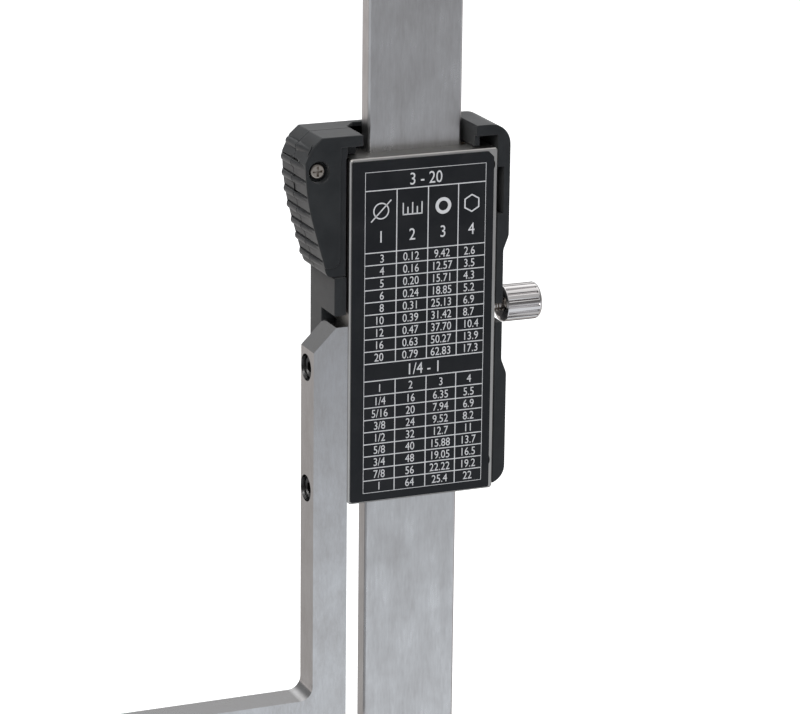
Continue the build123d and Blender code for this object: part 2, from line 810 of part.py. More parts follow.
def make_grip_back_cover():
    """Back shell of the thumb grip, from the joint plane to the plastic rim."""
    above_frame = Polyline((beam_notch_arm_side, pocket_top), (beam_notch_arm_side, housing_top),
                           (grip_top_reach, housing_top), (grip_top_reach, pocket_top), close=True)
    outline = grip_outline() + make_face(above_frame)
    shell = prism(outline, rim_back, split_plane)
    back_edges = shell.faces().sort_by(Axis.Y)[-1].edges()
    outer = [edge for edge in back_edges if edge.center().X > grip_inner + grip_edge_chamfer
             and edge.center().Z > grip_bottom + step_height]
    shell = chamfer(outer, grip_edge_chamfer)
    sink = (-rib_fade, rib_back_y - split_plane, 0)
    shell += extrude(Plane.XZ.offset(-split_plane) * rib_outline(), amount=math.hypot(*sink), dir=sink)
    shell -= prism(groove_outline(), rib_back_y, split_plane)
    # Hollow, with a post for the screw
    hollow = offset(grip_outline(), amount=-grip_wall)
    room = prism(hollow, rim_back - grip_wall, split_plane)
    room -= disc(*grip_screw_at, grip_boss_radius, rim_back, split_plane)
    shell -= room
    shell -= disc(*grip_screw_at, grip_screw_recess_radius, rim_back, grip_screw_seat)
    shell -= disc(*grip_screw_at, small_radius, rim_back, split_plane)
    # Open space under the top wall, beside the beam
    wall_low = housing_top - top_wall
    shell -= block(0, pocket_half, rim_back - grip_hollow_depth, rim_back, 0, wall_low)
    # Shallow sunk band along the grip's inner and lower edges
    band = block(0, 2 * grip_reach, rim_back - step_depth, rim_back, grip_bottom - beyond, wall_low)
    raised_low = grip_bottom + step_height
    raised = slab(2 * grip_reach, 2 * grip_length, step_corner, grip_inner + step_width + grip_reach,
                  raised_low + grip_length, rim_back, rim_back - step_depth)
    return shell - (band - raised)


def make_grip_screw():
    length = grip_screw_seat - split_plane + grip_screw_bite
    screw = cross_screw(small_radius, small_head_radius, small_head_height, length)
    return along_y(screw, grip_screw_at[0], grip_screw_seat, grip_screw_at[1])


def make_housing_screws():
    seat = frame_back - small_head_height
    length = seat - board_front + post_screw_bite
    screw = cross_screw(small_radius, small_head_radius, small_head_height - screw_head_gap, length)
    return [along_y(screw, x, seat, z) for x, z in post_places()]


# ---- Display, keys and battery -----------------------------------------------------------

def make_circuit_board():
    half = pocket_half - board_side_gap
    board = block(-half, half, board_front, frame_front, board_bottom, board_top)
    for x, z in post_places():
        board -= disc(x, z, small_radius + board_hole_gap, frame_front, board_front)
    return board


def make_sensor_board():
    half = lip_inner - sensor_side_gap
    return block(-half, half, frame_front, frame_front + sensor_thickness, sensor_bottom, sensor_top)


def make_key_switches():
    switches = []
    for x, z in key_places():
        body_front = (board_front + switch_front) / 2
        body = slab(switch_size, switch_size, switch_corner, x, z, board_front, body_front)
        switches.append(body + disc(x, z, plunger_radius, body_front, switch_front))
    return switches


def make_display_panel():
    return slab(display_width, display_height, display_corner, 0, display_centre,
                display_back, display_back - display_thickness)


def make_display_connector():
    half = display_width / 2 - connector_width / 2
    reach = display_height / 2 - connector_inset - connector_width / 2
    strip = block(-half, half, display_back, board_front, -connector_width / 2, connector_width / 2)
    return [Pos(0, 0, display_centre + side * reach) * strip for side in (-1, 1)]


def make_display_window():
    pane = slab(window_width - 2 * pane_gap, window_height - 2 * pane_gap, window_corner, 0, display_centre,
                front_inner_y, housing_front_y + front_label_thickness)
    flange = slab(window_width + 2 * window_side_flange, window_height + 2 * window_flange, window_corner,
                  0, display_centre, front_inner_y + window_flange_thickness, front_inner_y)
    return pane + flange


def front_label_sheet(gap):
    width = 2 * (front_label_half_width + gap)
    height = front_label_top - front_label_bottom + 2 * gap
    z = (front_label_top + front_label_bottom) / 2
    return slab(width, height, front_label_corner, 0, z,
                housing_front_y + front_label_thickness, housing_front_y)


def make_front_label():
    opening = slab(window_width - 2 * window_overlap, window_height - 2 * window_overlap, window_corner,
                   0, display_centre, front_inner_y, housing_front_y)
    return front_label_sheet(0) - opening - key_openings()


def make_key(place):
    x, z = place
    cap = slab(key_width, key_height, key_corner, x, z, front_inner_y, key_front)
    cap = fillet(cap.faces().sort_by(Axis.Y)[0].edges(), key_edge)
    flange = slab(key_width + 2 * key_flange, key_height + 2 * key_flange, key_corner,
                  x, z, key_inner, front_inner_y)
    return cap + flange


def make_battery():
    can = disc(0, battery_centre, battery_radius, battery_back, battery_front)
    return chamfer(can.faces().sort_by(Axis.Y)[-1].edges(), battery_edge)


def make_battery_contact():
    return block(-contact_half_width, contact_half_width, battery_back, battery_floor,
                 board_top + contact_end_gap, battery_centre + contact_half_width)


def make_battery_cover():
    cover = front_shell_envelope() & cover_space(0)
    for index in range(cover_groove_count):
        z = cover_bottom + cover_groove_rise + index * cover_groove_pitch
        cover -= block(-cover_groove_half_length, cover_groove_half_length,
                       housing_front_y, housing_front_y + cover_groove_depth, z, z + cover_groove_width)
    return cover


# ---- Scriber -----------------------------------------------------------------------------

def make_scriber():
    points = [
        (shank_start, shank_top),
        (shank_start, shank_bottom),
        (shank_end, shank_bottom),
        (shank_end + nose_slope, nose_bottom),
        (nose_end, nose_bottom),
        (nose_end, nose_bottom + tip_root),
        (shank_end + nose_slope, shank_top),
    ]
    return prism(make_face(Polyline(*points, close=True)), arm_back, arm_front)


def make_scriber_tip():
    """Hard-metal tip: flat underneath, sloping down to a narrow marking edge."""
    points = [
        (nose_end, nose_bottom),
        (scriber_end, nose_bottom),
        (scriber_end, nose_bottom + tip_edge_height),
        (nose_end, nose_bottom + tip_root),
    ]
    tip = prism(make_face(Polyline(*points, close=True)), arm_back, arm_front)
    slope = (arm_depth - tip_edge) / 2
    plan = Polyline((nose_end, arm_front), (nose_end, arm_back), (scriber_end, arm_back - slope),
                    (scriber_end, arm_front + slope), close=True)
    return tip & (Pos(0, 0, nose_bottom) * extrude(make_face(plan), amount=tip_root))


def make_scriber_clamp():
    """A box that holds the scriber's shank against the underside of the bar."""
    gap = running_gap
    clamp = block(clamp_start, clamp_end, arm_front - gap - clamp_wall, arm_back + gap + clamp_wall,
                  shank_bottom - gap - clamp_wall, bar_top + gap + clamp_top_wall)
    clamp = chamfer(clamp.edges().filter_by(Axis.X), clamp_corner)
    clamp -= block(clamp_start, clamp_end, arm_front - gap, arm_back + gap, shank_bottom - gap, bar_top + gap)
    middle = (clamp_start + clamp_end) / 2
    bore = Cylinder(m3_radius + lock_thread_gap, 2 * (clamp_top_wall + gap + beyond))
    return clamp - Pos(middle, (arm_front + arm_back) / 2, bar_top) * bore


def make_clamp_screw():
    seat = bar_top + running_gap + clamp_top_wall + clamp_knob_lift
    shank_length = seat - bar_top - running_gap
    knob = fluted_knob(clamp_knob_radius, clamp_knob_height, clamp_flutes, clamp_flute_radius,
                       clamp_knob_round)
    shank = Cylinder(m3_radius, shank_length, align=(Align.CENTER, Align.CENTER, Align.MAX))
    middle = (clamp_start + clamp_end) / 2
    return Pos(middle, (arm_front + arm_back) / 2, seat) * (knob + shank)


# ---- Write every piece -------------------------------------------------------------------

def solids_of(shape):
    """All solids of a shape or a list of shapes, as one group."""
    shapes = shape if isinstance(shape, list) else [shape]
    return Compound([solid for item in shapes for solid in item.solids()])


key_names = ("key_power", "key_zero", "key_units")

standing = {
    "base_casting": make_base_casting(),
    "beam": make_beam(),
    "scale_strip": make_scale_strip(),
    "beam_clamp_plate": make_clamp_plate(),
    "beam_clamp_screws": make_clamp_plate_screws(),
    "beam_end_stop": make_end_stop(),
    "end_stop_screws": make_end_stop_screws(),
}

moving = {
    "slider_frame": make_slider_frame(),
    "gib_strip": make_gib_strip(),
    "gib_screws": make_gib_screws(),
    "back_label": make_back_label(),
    "measuring_arm": make_measuring_arm(),
    "arm_screws": make_arm_screws(),
    "housing_front": make_housing_front(),
    "housing_screws": make_housing_screws(),
    "grip_back_cover": make_grip_back_cover(),
    "grip_screw": make_grip_screw(),
    "circuit_board": make_circuit_board(),
    "sensor_board": make_sensor_board(),
    "key_switches": make_key_switches(),
    "display_panel": make_display_panel(),
    "display_connector": make_display_connector(),
    "display_window": make_display_window(),
    "front_label": make_front_label(),
    "battery": make_battery(),
    "battery_contact": make_battery_contact(),
    "battery_cover": make_battery_cover(),
    "lock_screw": make_lock_screw(),
    "scriber_clamp": make_scriber_clamp(),
    "clamp_screw": make_clamp_screw(),
    "scriber": make_scriber(),
    "scriber_tip": make_scriber_tip(),
}
for name, place in zip(key_names, key_places()):
    moving[name] = make_key(place)

os.makedirs("parts", exist_ok=True)
pieces = {name: solids_of(shape) for name, shape in standing.items()}
pieces.update({name: lifted(solids_of(shape)) for name, shape in moving.items()})
for name, piece in pieces.items():
    export_step(piece, f"parts/{name}.step")
    print(f"{name}: {len(piece.solids())} solid(s), {piece.volume:.1f} mm3")
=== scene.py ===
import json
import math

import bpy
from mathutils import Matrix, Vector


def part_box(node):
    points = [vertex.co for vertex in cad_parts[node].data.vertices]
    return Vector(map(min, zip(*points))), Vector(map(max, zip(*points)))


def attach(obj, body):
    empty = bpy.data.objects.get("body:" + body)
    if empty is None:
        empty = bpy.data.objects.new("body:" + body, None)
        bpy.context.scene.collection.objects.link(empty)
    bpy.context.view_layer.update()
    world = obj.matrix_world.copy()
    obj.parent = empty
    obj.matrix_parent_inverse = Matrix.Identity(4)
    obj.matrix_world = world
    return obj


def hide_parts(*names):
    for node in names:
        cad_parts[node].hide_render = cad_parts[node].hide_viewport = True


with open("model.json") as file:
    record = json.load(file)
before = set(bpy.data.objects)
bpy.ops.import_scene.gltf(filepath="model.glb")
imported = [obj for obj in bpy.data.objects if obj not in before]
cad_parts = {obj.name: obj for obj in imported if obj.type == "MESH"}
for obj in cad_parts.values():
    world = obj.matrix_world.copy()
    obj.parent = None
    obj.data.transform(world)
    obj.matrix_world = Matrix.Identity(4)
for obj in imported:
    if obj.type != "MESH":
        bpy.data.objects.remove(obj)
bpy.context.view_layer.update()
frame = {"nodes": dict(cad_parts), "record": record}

# %% [markdown]
# # A digital height gauge
# A height gauge stands on a surface plate and reads how far its scriber is above the plate.
# A steel beam rises from a cast base, a slider with a display head runs on the beam, and an
# L-shaped arm on the slider's side carries the scriber. The shapes come from the CAD frame
# that was just loaded. This file gives them their finishes, softens their edges, and models
# the small things that a machinist looks for: printed numbers, a ruling, a screw thread.

MM = 0.001
nodes = frame["nodes"]
record = frame["record"]
body_of = {node: body for body, members in record["behaviour"]["bodies"].items()
           for node in members}
slot_of = {part["node"]: part["material_slot"] for part in record["subparts"]}
for flat in list(bpy.data.materials):
    bpy.data.materials.remove(flat)     # the frame's plain colours make way for full finishes
print("CAD nodes:", len(nodes), "on bodies:", sorted(set(body_of.values())))

# %% [markdown]
# ## The camera
# The camera stands behind the gauge, a little above the slider, and looks down at it through
# a long lens, so the upright lines stay nearly parallel. Its place and its three axes are
# written out, because a matrix holds a view exactly where aiming it by eye would not.

# %% Set the camera
CAMERA_PLACE = (0.213295, 0.50652, 0.29480)     # metres
CAMERA_RIGHT = (-0.92376, 0.38283, 0.01048)
CAMERA_UP = (-0.09932, -0.26590, 0.95887)
CAMERA_BACK = (0.36987, 0.88472, 0.28366)


def new_object(name, data):
    """Put a new object in the scene."""
    made = bpy.data.objects.new(name, data)
    bpy.context.scene.collection.objects.link(made)
    return made


def place_camera():
    data = bpy.data.cameras.new("camera")
    data.lens = 160.13
    data.sensor_width = 36
    data.clip_start = 0.02
    data.clip_end = 20
    camera = new_object("camera", data)
    turn = Matrix((CAMERA_RIGHT, CAMERA_UP, CAMERA_BACK)).transposed().to_4x4()
    camera.matrix_world = Matrix.Translation(CAMERA_PLACE) @ turn
    bpy.context.scene.camera = camera
    return camera


camera = place_camera()
print("camera at", [round(c, 3) for c in camera.matrix_world.translation])

# %% [markdown]
# ## Small helpers
# An operator works on everything that is selected, and the loaded CAD nodes still are. So
# each step first selects one object and nothing else. A finished piece keeps its place in
# its mesh, and its object sits unturned at the origin, which is how the frame expects it.

# %% Helpers for selecting and finishing
def only(piece):
    """Select one object and nothing else."""
    if bpy.context.object and bpy.context.object.mode != "OBJECT":
        bpy.ops.object.mode_set(mode="OBJECT")
    bpy.ops.object.select_all(action="DESELECT")
    piece.select_set(True)
    bpy.context.view_layer.objects.active = piece
    return piece


def named(piece, name):
    piece.name = name
    piece.data.name = name
    return piece


def settle(piece, name):
    """Name a piece and put its place, turn and scale into its mesh."""
    only(piece)
    bpy.ops.object.transform_apply(location=True, rotation=True, scale=True)
    return named(piece, name)


def apply_modifiers(piece):
    only(piece)
    for modifier in list(piece.modifiers):
        bpy.ops.object.modifier_apply(modifier=modifier.name)
    return piece


def join(pieces, name):
    """Join meshes into one object."""
    only(pieces[0])
    for piece in pieces[1:]:
        piece.select_set(True)
    if len(pieces) > 1:
        bpy.ops.object.join()
    return named(bpy.context.object, name)


def smooth(piece, angle=40):
    """Shade a piece smoothly, except over edges sharper than angle in degrees."""
    only(piece)
    bpy.ops.object.shade_smooth_by_angle(angle=math.radians(angle))
    return piece


print("object helpers ready")

# %% [markdown]
# Edit mode is opened with all of a piece selected, or with the points or faces that a test
# picks by their place. It picks in object mode, where a script can set what is selected.

# %% Helpers for edit mode
def edit_all(piece):
    """Open a piece in edit mode with everything selected."""
    only(piece)
    bpy.ops.object.mode_set(mode="EDIT")
    bpy.ops.mesh.select_all(action="SELECT")


def edit_picked(piece, kind, wanted):
    """Open a piece in edit mode with only the points ("VERT") or the faces ("FACE")
    selected for which wanted(place) is true."""
    only(piece)
    bpy.ops.object.mode_set(mode="EDIT")
    bpy.ops.mesh.select_mode(type=kind)
    bpy.ops.mesh.select_all(action="DESELECT")
    bpy.ops.object.mode_set(mode="OBJECT")
    if kind == "VERT":
        for point in piece.data.vertices:
            point.select = bool(wanted(point.co))
    else:
        for face in piece.data.polygons:
            face.select = bool(wanted(face.center))
    bpy.ops.object.mode_set(mode="EDIT")


def done_editing():
    bpy.ops.object.mode_set(mode="OBJECT")


print("edit mode helpers ready")

# %% [markdown]
# ## Softer edges
# CAD edges are knife sharp, and a sharp edge catches no light. Real ones are broken by a
# file or a mould, and show as a thin bright line. A loaded node is a soup of triangles, so a
# copy of it is merged first, then its flat areas are dissolved into single faces. After that
# a Bevel modifier with an angle limit rounds only the true edges. The two moulded shells have
# ribs and steps so close together that a clamped bevel would shrink to nothing there.

# %% Make softened copies of the CAD nodes
MERGE = 0.002                   # mm, points nearer than this are one
FLAT = 0.6                      # degrees, faces that lean less than this are one
SHARP = 32                      # degrees, edges that turn more than this are rounded
UNCLAMPED = ("housing_front", "grip_back_cover")


def softened(node, width):
    """Copy a CAD node, clean its mesh and round its edges by width, in mm."""
    piece = new_object(node + "_soft", nodes[node].data.copy())
    piece.data.materials.clear()
    edit_all(piece)
    bpy.ops.mesh.remove_doubles(threshold=MERGE * MM)
    bpy.ops.mesh.dissolve_limited(angle_limit=math.radians(FLAT))
    done_editing()
    if piece.data.has_custom_normals:
        bpy.ops.mesh.customdata_custom_splitnormals_clear()
    bevel = piece.modifiers.new("edge", "BEVEL")
    bevel.width = width * MM
    bevel.segments = 2
    bevel.use_clamp_overlap = node not in UNCLAMPED
    bevel.limit_method = "ANGLE"
    bevel.angle_limit = math.radians(SHARP)
    smooth(piece)
    even = piece.modifiers.new("even", "WEIGHTED_NORMAL")
    even.weight = 100
    even.keep_sharp = True
    apply_modifiers(piece)
    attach(piece, body_of[node])
    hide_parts(node)
    return piece


soft = {}
edge_widths = {                 # mm
    "slider_frame": 0.14, "beam": 0.10, "housing_front": 0.12, "grip_back_cover": 0.12,
    "battery_cover": 0.12, "scriber": 0.12, "scriber_clamp": 0.15, "base_casting": 0.5,
    "beam_clamp_plate": 0.2, "beam_end_stop": 0.15,
    "key_power": 0.08, "key_zero": 0.08, "key_units": 0.08,
}
for node, width in edge_widths.items():
    soft[node] = softened(node, width)
    print(node, "now has", len(soft[node].data.polygons), "faces")

# %% [markdown]
# ## Effects that several finishes share
# An effect is kept in a node group, so that each material can place it with its own values.
# Ground steel is noise that is pulled out along the grinding direction: the same streaks
# change the colour a little, the gloss a little more, and the height a hair.

# %% Node helpers
COLOUR, NUMBER, VECTOR = "NodeSocketColor", "NodeSocketFloat", "NodeSocketVector"


def new_group(name, inputs):
    """An empty surface effect, with the sockets that it reads and those that it feeds."""
    tree = bpy.data.node_groups.new(name, "ShaderNodeTree")
    for label, kind, value in inputs:
        socket = tree.interface.new_socket(label, in_out="INPUT", socket_type=kind)
        if value is not None:
            socket.default_value = value
    for label, kind in (("Colour", COLOUR), ("Roughness", NUMBER), ("Height", NUMBER)):
        tree.interface.new_socket(label, in_out="OUTPUT", socket_type=kind)
    return (tree, tree.nodes.new("NodeGroupInput").outputs,
            tree.nodes.new("NodeGroupOutput").inputs)


def connect(tree, value, socket):
    """Link a socket to another, or write a plain number into it."""
    if isinstance(value, bpy.types.NodeSocket):
        tree.links.new(value, socket)
    else:
        socket.default_value = value


def noise(tree, vector, scale, detail, roughness):
    node = tree.nodes.new("ShaderNodeTexNoise")
    node.inputs["Detail"].default_value = detail
    node.inputs["Roughness"].default_value = roughness
    tree.links.new(vector, node.inputs["Vector"])
    connect(tree, scale, node.inputs["Scale"])
    return node.outputs["Fac"]


def maths(tree, operation, first, second, clamp=False):
    node = tree.nodes.new("ShaderNodeMath")
    node.operation = operation
    node.use_clamp = clamp
    connect(tree, first, node.inputs[0])
    connect(tree, second, node.inputs[1])
    return node.outputs[0]


def ranged(tree, value, low, high, to_low, to_high):
    """Map a value from low..high to to_low..to_high, and hold it at the ends."""
    node = tree.nodes.new("ShaderNodeMapRange")
    for socket, number in zip(node.inputs[:5], (value, low, high, to_low, to_high)):
        connect(tree, number, socket)
    return node.outputs[0]


def blended(tree, factor, first, second):
    """Mix two colours."""
    node = tree.nodes.new("ShaderNodeMix")
    node.data_type = "RGBA"
    connect(tree, factor, node.inputs["Factor"])
    connect(tree, first, node.inputs[6])
    connect(tree, second, node.inputs[7])
    return node.outputs[2]


def scaled(tree, vector, by):
    """Multiply two vectors, each part by its own."""
    node = tree.nodes.new("ShaderNodeVectorMath")
    node.operation = "MULTIPLY"
    tree.links.new(vector, node.inputs[0])
    connect(tree, by, node.inputs[1])
    return node.outputs[0]


print("node helpers ready")

# %% [markdown]
# The streaks need a vector that is squeezed along the grinding direction. Two noises are
# used on it, a fine one for the scratches that are as wide as a hair and a coarser one for
# the streaks. A third, unsqueezed, makes the cloudy patches that handling leaves.

# %% The ground steel effect
COARSER = 0.22                  # the streaks' fineness, as a share of the scratches'
CLOUDS = 160.0                  # clouds to a metre, about 6 mm each


def make_ground_steel():
    tree, value, out = new_group("ground_steel", [
        ("Vector", VECTOR, None), ("Stretch", VECTOR, (1, 1, 1)), ("Fineness", NUMBER, 2500.0),
        ("Dark", COLOUR, None), ("Pale", COLOUR, None), ("Contrast", NUMBER, 0.5),
        ("Roughness", NUMBER, 0.35), ("Spread", NUMBER, 0.1)])
    stretched = scaled(tree, value["Vector"], value["Stretch"])
    scratches = noise(tree, stretched, value["Fineness"], 3.0, 0.7)
    coarser = maths(tree, "MULTIPLY", value["Fineness"], COARSER)
    streaks = noise(tree, stretched, coarser, 3.0, 0.6)
    clouds = noise(tree, value["Vector"], CLOUDS, 3.0, 0.55)
    grain = maths(tree, "MULTIPLY", maths(tree, "ADD", scratches, streaks), 0.5)
    centred = maths(tree, "MULTIPLY", maths(tree, "SUBTRACT", grain, 0.5), value["Contrast"])
    cloudy = maths(tree, "MULTIPLY", maths(tree, "SUBTRACT", clouds, 0.5), 0.9)
    tone = maths(tree, "ADD", maths(tree, "ADD", centred, cloudy), 0.5, clamp=True)
    tree.links.new(blended(tree, tone, value["Dark"], value["Pale"]), out["Colour"])
    gloss = maths(tree, "MULTIPLY", maths(tree, "SUBTRACT", tone, 0.5), value["Spread"])
    tree.links.new(maths(tree, "SUBTRACT", value["Roughness"], gloss), out["Roughness"])
    tree.links.new(grain, out["Height"])
    return tree


ground_steel = make_ground_steel()
print("group:", ground_steel.name)

# %% [markdown]
# Moulded plastic is not smooth either: the mould is etched, so the surface has a fine even
# grain. A slow noise makes patches that are duller and carry more pale dust, and a quicker
# one adds single specks of it.

# %% The moulded plastic effect
PATCHES, SPECKS = 260.0, 1900.0         # to a metre


def make_moulded_grain():
    tree, value, out = new_group("moulded_grain", [
        ("Vector", VECTOR, None), ("Fineness", NUMBER, 2600.0), ("Colour", COLOUR, None),
        ("Dust", COLOUR, None), ("Dust Amount", NUMBER, 0.25), ("Roughness", NUMBER, 0.5)])
    grain = noise(tree, value["Vector"], value["Fineness"], 2.0, 0.5)
    patches = noise(tree, value["Vector"], PATCHES, 4.0, 0.6)
    specks = noise(tree, value["Vector"], SPECKS, 2.0, 0.5)
    in_patches = ranged(tree, patches, 0.35, 0.75, 0.0, 1.0)
    dusty = maths(tree, "MULTIPLY", in_patches, value["Dust Amount"])
    specked = maths(tree, "MULTIPLY", ranged(tree, specks, 0.66, 0.80, 0.0, 0.35),
                    value["Dust Amount"])
    amount = maths(tree, "ADD", dusty, specked, clamp=True)
    tree.links.new(blended(tree, amount, value["Colour"], value["Dust"]), out["Colour"])
    rough = ranged(tree, patches, 0.3, 0.7, -0.05, 0.07)
    tree.links.new(maths(tree, "ADD", value["Roughness"], rough), out["Roughness"])
    tree.links.new(grain, out["Height"])
    return tree


moulded_grain = make_moulded_grain()
print("group:", moulded_grain.name)

# %% [markdown]
# ## Metal finishes
# Each metal gets its own material, because the beam, the slider frame and the arm are ground
# on different machines. The beam's grain runs up and down, the arm's is shorter and cooler.
# The shader's own sockets hold whatever is the same all over, such as Metallic.

# %% Build a material around an effect
def new_material(name, **sockets):
    """A new material, with plain values for its shader's sockets."""
    material = bpy.data.materials.new(name)
    material.use_nodes = True
    shader = material.node_tree.nodes["Principled BSDF"]
    for label, value in sockets.items():
        shader.inputs[label.replace("_", " ")].default_value = value
    return material


def object_place(tree):
    return tree.nodes.new("ShaderNodeTexCoord").outputs["Object"]


def with_effect(material, effect, bump, depth, **values):
    """Place an effect in a material and link it to the shader; depth of the bump in mm."""
    tree = material.node_tree
    shader = tree.nodes["Principled BSDF"]
    place = tree.nodes.new("ShaderNodeGroup")
    place.node_tree = effect
    tree.links.new(object_place(tree), place.inputs["Vector"])
    for label, value in values.items():
        place.inputs[label.replace("_", " ")].default_value = value
    tree.links.new(place.outputs["Colour"], shader.inputs["Base Color"])
    tree.links.new(place.outputs["Roughness"], shader.inputs["Roughness"])
    bumps = tree.nodes.new("ShaderNodeBump")
    bumps.inputs["Strength"].default_value = bump
    bumps.inputs["Distance"].default_value = depth * MM
    tree.links.new(place.outputs["Height"], bumps.inputs["Height"])
    tree.links.new(bumps.outputs["Normal"], shader.inputs["Normal"])
    return material


def metal(name, bump, depth, dark, pale, metallic=1.0, **values):
    """A ground metal whose colour varies from dark to pale."""
    return with_effect(new_material(name, Metallic=metallic), ground_steel, bump, depth,
                       Dark=(*dark, 1), Pale=(*pale, 1), **values)


def plastic(name, bump, depth, colour, dust, sockets=None, **values):
    """A moulded, printed or painted surface; sockets are plain values for its shader."""
    return with_effect(new_material(name, **(sockets or {})), moulded_grain, bump, depth,
                       Colour=(*colour, 1), Dust=(*dust, 1), **values)


print("material helpers ready")

# %% [markdown]
# Each line gives a metal's bump, its depth, and its dark and pale tones, then the effect's
# own values. Stretch is smallest along the grinding direction.

# %% Steels of the beam, the frame, the arm and the clamp
steels = [
    metal("beam_steel", 0.18, 0.015, (0.48, 0.47, 0.47), (0.69, 0.695, 0.705),
          Stretch=(1, 1, 0.16), Fineness=2600.0, Contrast=1.5, Roughness=0.30, Spread=0.12),
    metal("frame_steel", 0.15, 0.015, (0.40, 0.39, 0.38), (0.58, 0.57, 0.55),
          Stretch=(1, 1, 0.2), Fineness=4200.0, Contrast=0.7, Roughness=0.34, Spread=0.12),
    metal("arm_steel", 0.1, 0.015, (0.47, 0.46, 0.455), (0.62, 0.625, 0.64),
          Stretch=(1, 1, 0.3), Fineness=2800.0, Contrast=1.4, Roughness=0.22, Spread=0.10),
    metal("clamp_steel", 0.2, 0.015, (0.36, 0.36, 0.36), (0.52, 0.52, 0.51),
          Stretch=(0.15, 1, 1), Fineness=4200.0, Contrast=0.8, Roughness=0.38, Spread=0.12),
    metal("tip_metal", 0.15, 0.01, (0.17, 0.17, 0.18), (0.27, 0.27, 0.28),
          Stretch=(1, 0.2, 1), Fineness=6000.0, Contrast=0.6, Roughness=0.28, Spread=0.1),
]
print("ground steels:", [material.name for material in steels])

# %% [markdown]
# Small fasteners are plated, blackened or left bare. Their streaks aren't pulled out.

# %% Plated and blackened metals
small_metals = [
    metal("chrome", 0.02, 0.005, (0.62, 0.60, 0.60), (0.74, 0.72, 0.72),
          Fineness=1500.0, Contrast=0.2, Roughness=0.13, Spread=0.08),
    metal("screw_steel", 0.1, 0.01, (0.34, 0.31, 0.28), (0.52, 0.47, 0.42),
          Fineness=2500.0, Contrast=0.6, Roughness=0.3, Spread=0.12),
    metal("black_screw", 0.1, 0.01, (0.03, 0.03, 0.03), (0.07, 0.07, 0.07),
          Fineness=2500.0, Contrast=0.5, Roughness=0.42, Spread=0.1),
    metal("stop_steel", 0.15, 0.01, (0.03, 0.03, 0.033), (0.07, 0.07, 0.075), metallic=0.6,
          Stretch=(1, 1, 0.5), Fineness=3000.0, Contrast=0.5, Roughness=0.45, Spread=0.1),
    metal("battery_steel", 0.05, 0.005, (0.5, 0.5, 0.5), (0.66, 0.66, 0.65),
          Fineness=3000.0, Contrast=0.4, Roughness=0.25, Spread=0.1),
    metal("contact_brass", 0.08, 0.005, (0.55, 0.38, 0.15), (0.76, 0.56, 0.26),
          Stretch=(1, 1, 0.3), Fineness=3000.0, Contrast=0.5, Roughness=0.3, Spread=0.1),
]
print("small metals:", [material.name for material in small_metals])

# %% [markdown]
# ## Plastics, paint and films
# The housing is nearly black with a bluish cast and a faint sheen from its grain. The base
# has wrinkle paint, which is the same grain made coarse and deep.

# %% Moulded plastics, rubber and paint
plastics = [
    plastic("housing_black", 0.35, 0.02, (0.0085, 0.0098, 0.0115), (0.035, 0.038, 0.04),
            {"Specular_IOR_Level": 0.3, "Sheen_Weight": 0.2, "Sheen_Roughness": 0.4},
            Fineness=4200.0, Dust_Amount=0.3, Roughness=0.43),
    plastic("key_plastic", 0.1, 0.01, (0.05, 0.16, 0.42), (0.12, 0.22, 0.45),
            Fineness=4200.0, Dust_Amount=0.15, Roughness=0.42),
    plastic("key_red", 0.1, 0.01, (0.52, 0.03, 0.025), (0.56, 0.12, 0.1),
            Fineness=4200.0, Dust_Amount=0.15, Roughness=0.42),
    plastic("board_green", 0.1, 0.01, (0.015, 0.10, 0.04), (0.03, 0.16, 0.07),
            Fineness=1800.0, Dust_Amount=0.6, Roughness=0.35),
    plastic("connector_rubber", 0.2, 0.02, (0.25, 0.25, 0.27), (0.4, 0.4, 0.42),
            Dust_Amount=0.3, Roughness=0.7),
    plastic("base_iron", 0.9, 0.12, (0.035, 0.036, 0.038), (0.10, 0.10, 0.10),
            Fineness=900.0, Dust_Amount=0.3, Roughness=0.5),
]
print("plastics and paint:", [material.name for material in plastics])

# %% [markdown]
# Labels and rulings are printed films, smooth and a little dusty, and their inks are a touch
# duller than the film. The window over the display is clear, and lets some light straight
# through, so that the grey panel behind it doesn't turn black.

# %% Films, inks and the window
films = [
    plastic("label_black", 0.05, 0.01, (0.005, 0.006, 0.008), (0.03, 0.03, 0.032),
            {"Specular_IOR_Level": 0.25},
            Dust_Amount=0.2, Roughness=0.35),
    plastic("label_print", 0.05, 0.01, (0.53, 0.535, 0.555), (0.40, 0.40, 0.41),
            Dust_Amount=0.3, Roughness=0.5),
    plastic("front_film", 0.05, 0.01, (0.10, 0.105, 0.11), (0.2, 0.2, 0.2),
            Dust_Amount=0.15, Roughness=0.35),
    plastic("scale_film", 0.03, 0.01, (0.50, 0.51, 0.51), (0.38, 0.38, 0.38),
            Dust_Amount=0.3, Roughness=0.4),
    plastic("scale_print", 0.03, 0.01, (0.015, 0.015, 0.016), (0.05, 0.05, 0.05),
            Dust_Amount=0.2, Roughness=0.45),
    plastic("display_grey", 0.02, 0.01, (0.40, 0.44, 0.38), (0.46, 0.5, 0.44),
            Dust_Amount=0.3, Roughness=0.25),
    plastic("display_ink", 0.02, 0.01, (0.02, 0.022, 0.02), (0.05, 0.06, 0.05),
            Dust_Amount=0.2, Roughness=0.3),
]
window_clear = new_material("window_clear", Base_Color=(0.97, 0.98, 0.98, 1), Roughness=0.03,
                            Transmission_Weight=1.0, IOR=1.49, Alpha=0.35)
print("films:", [material.name for material in films], "and", window_clear.name)

# %% [markdown]
# ## Dressing the CAD pieces
# Every CAD node names a finish in the part's record. Each node, and each softened copy that
# stands for one, now gets the material of that name.

# %% Give each piece its finish
finishes = {material.name: material for material in bpy.data.materials}


def dress(piece, finish):
    piece.data.materials.clear()
    piece.data.materials.append(finishes[finish])


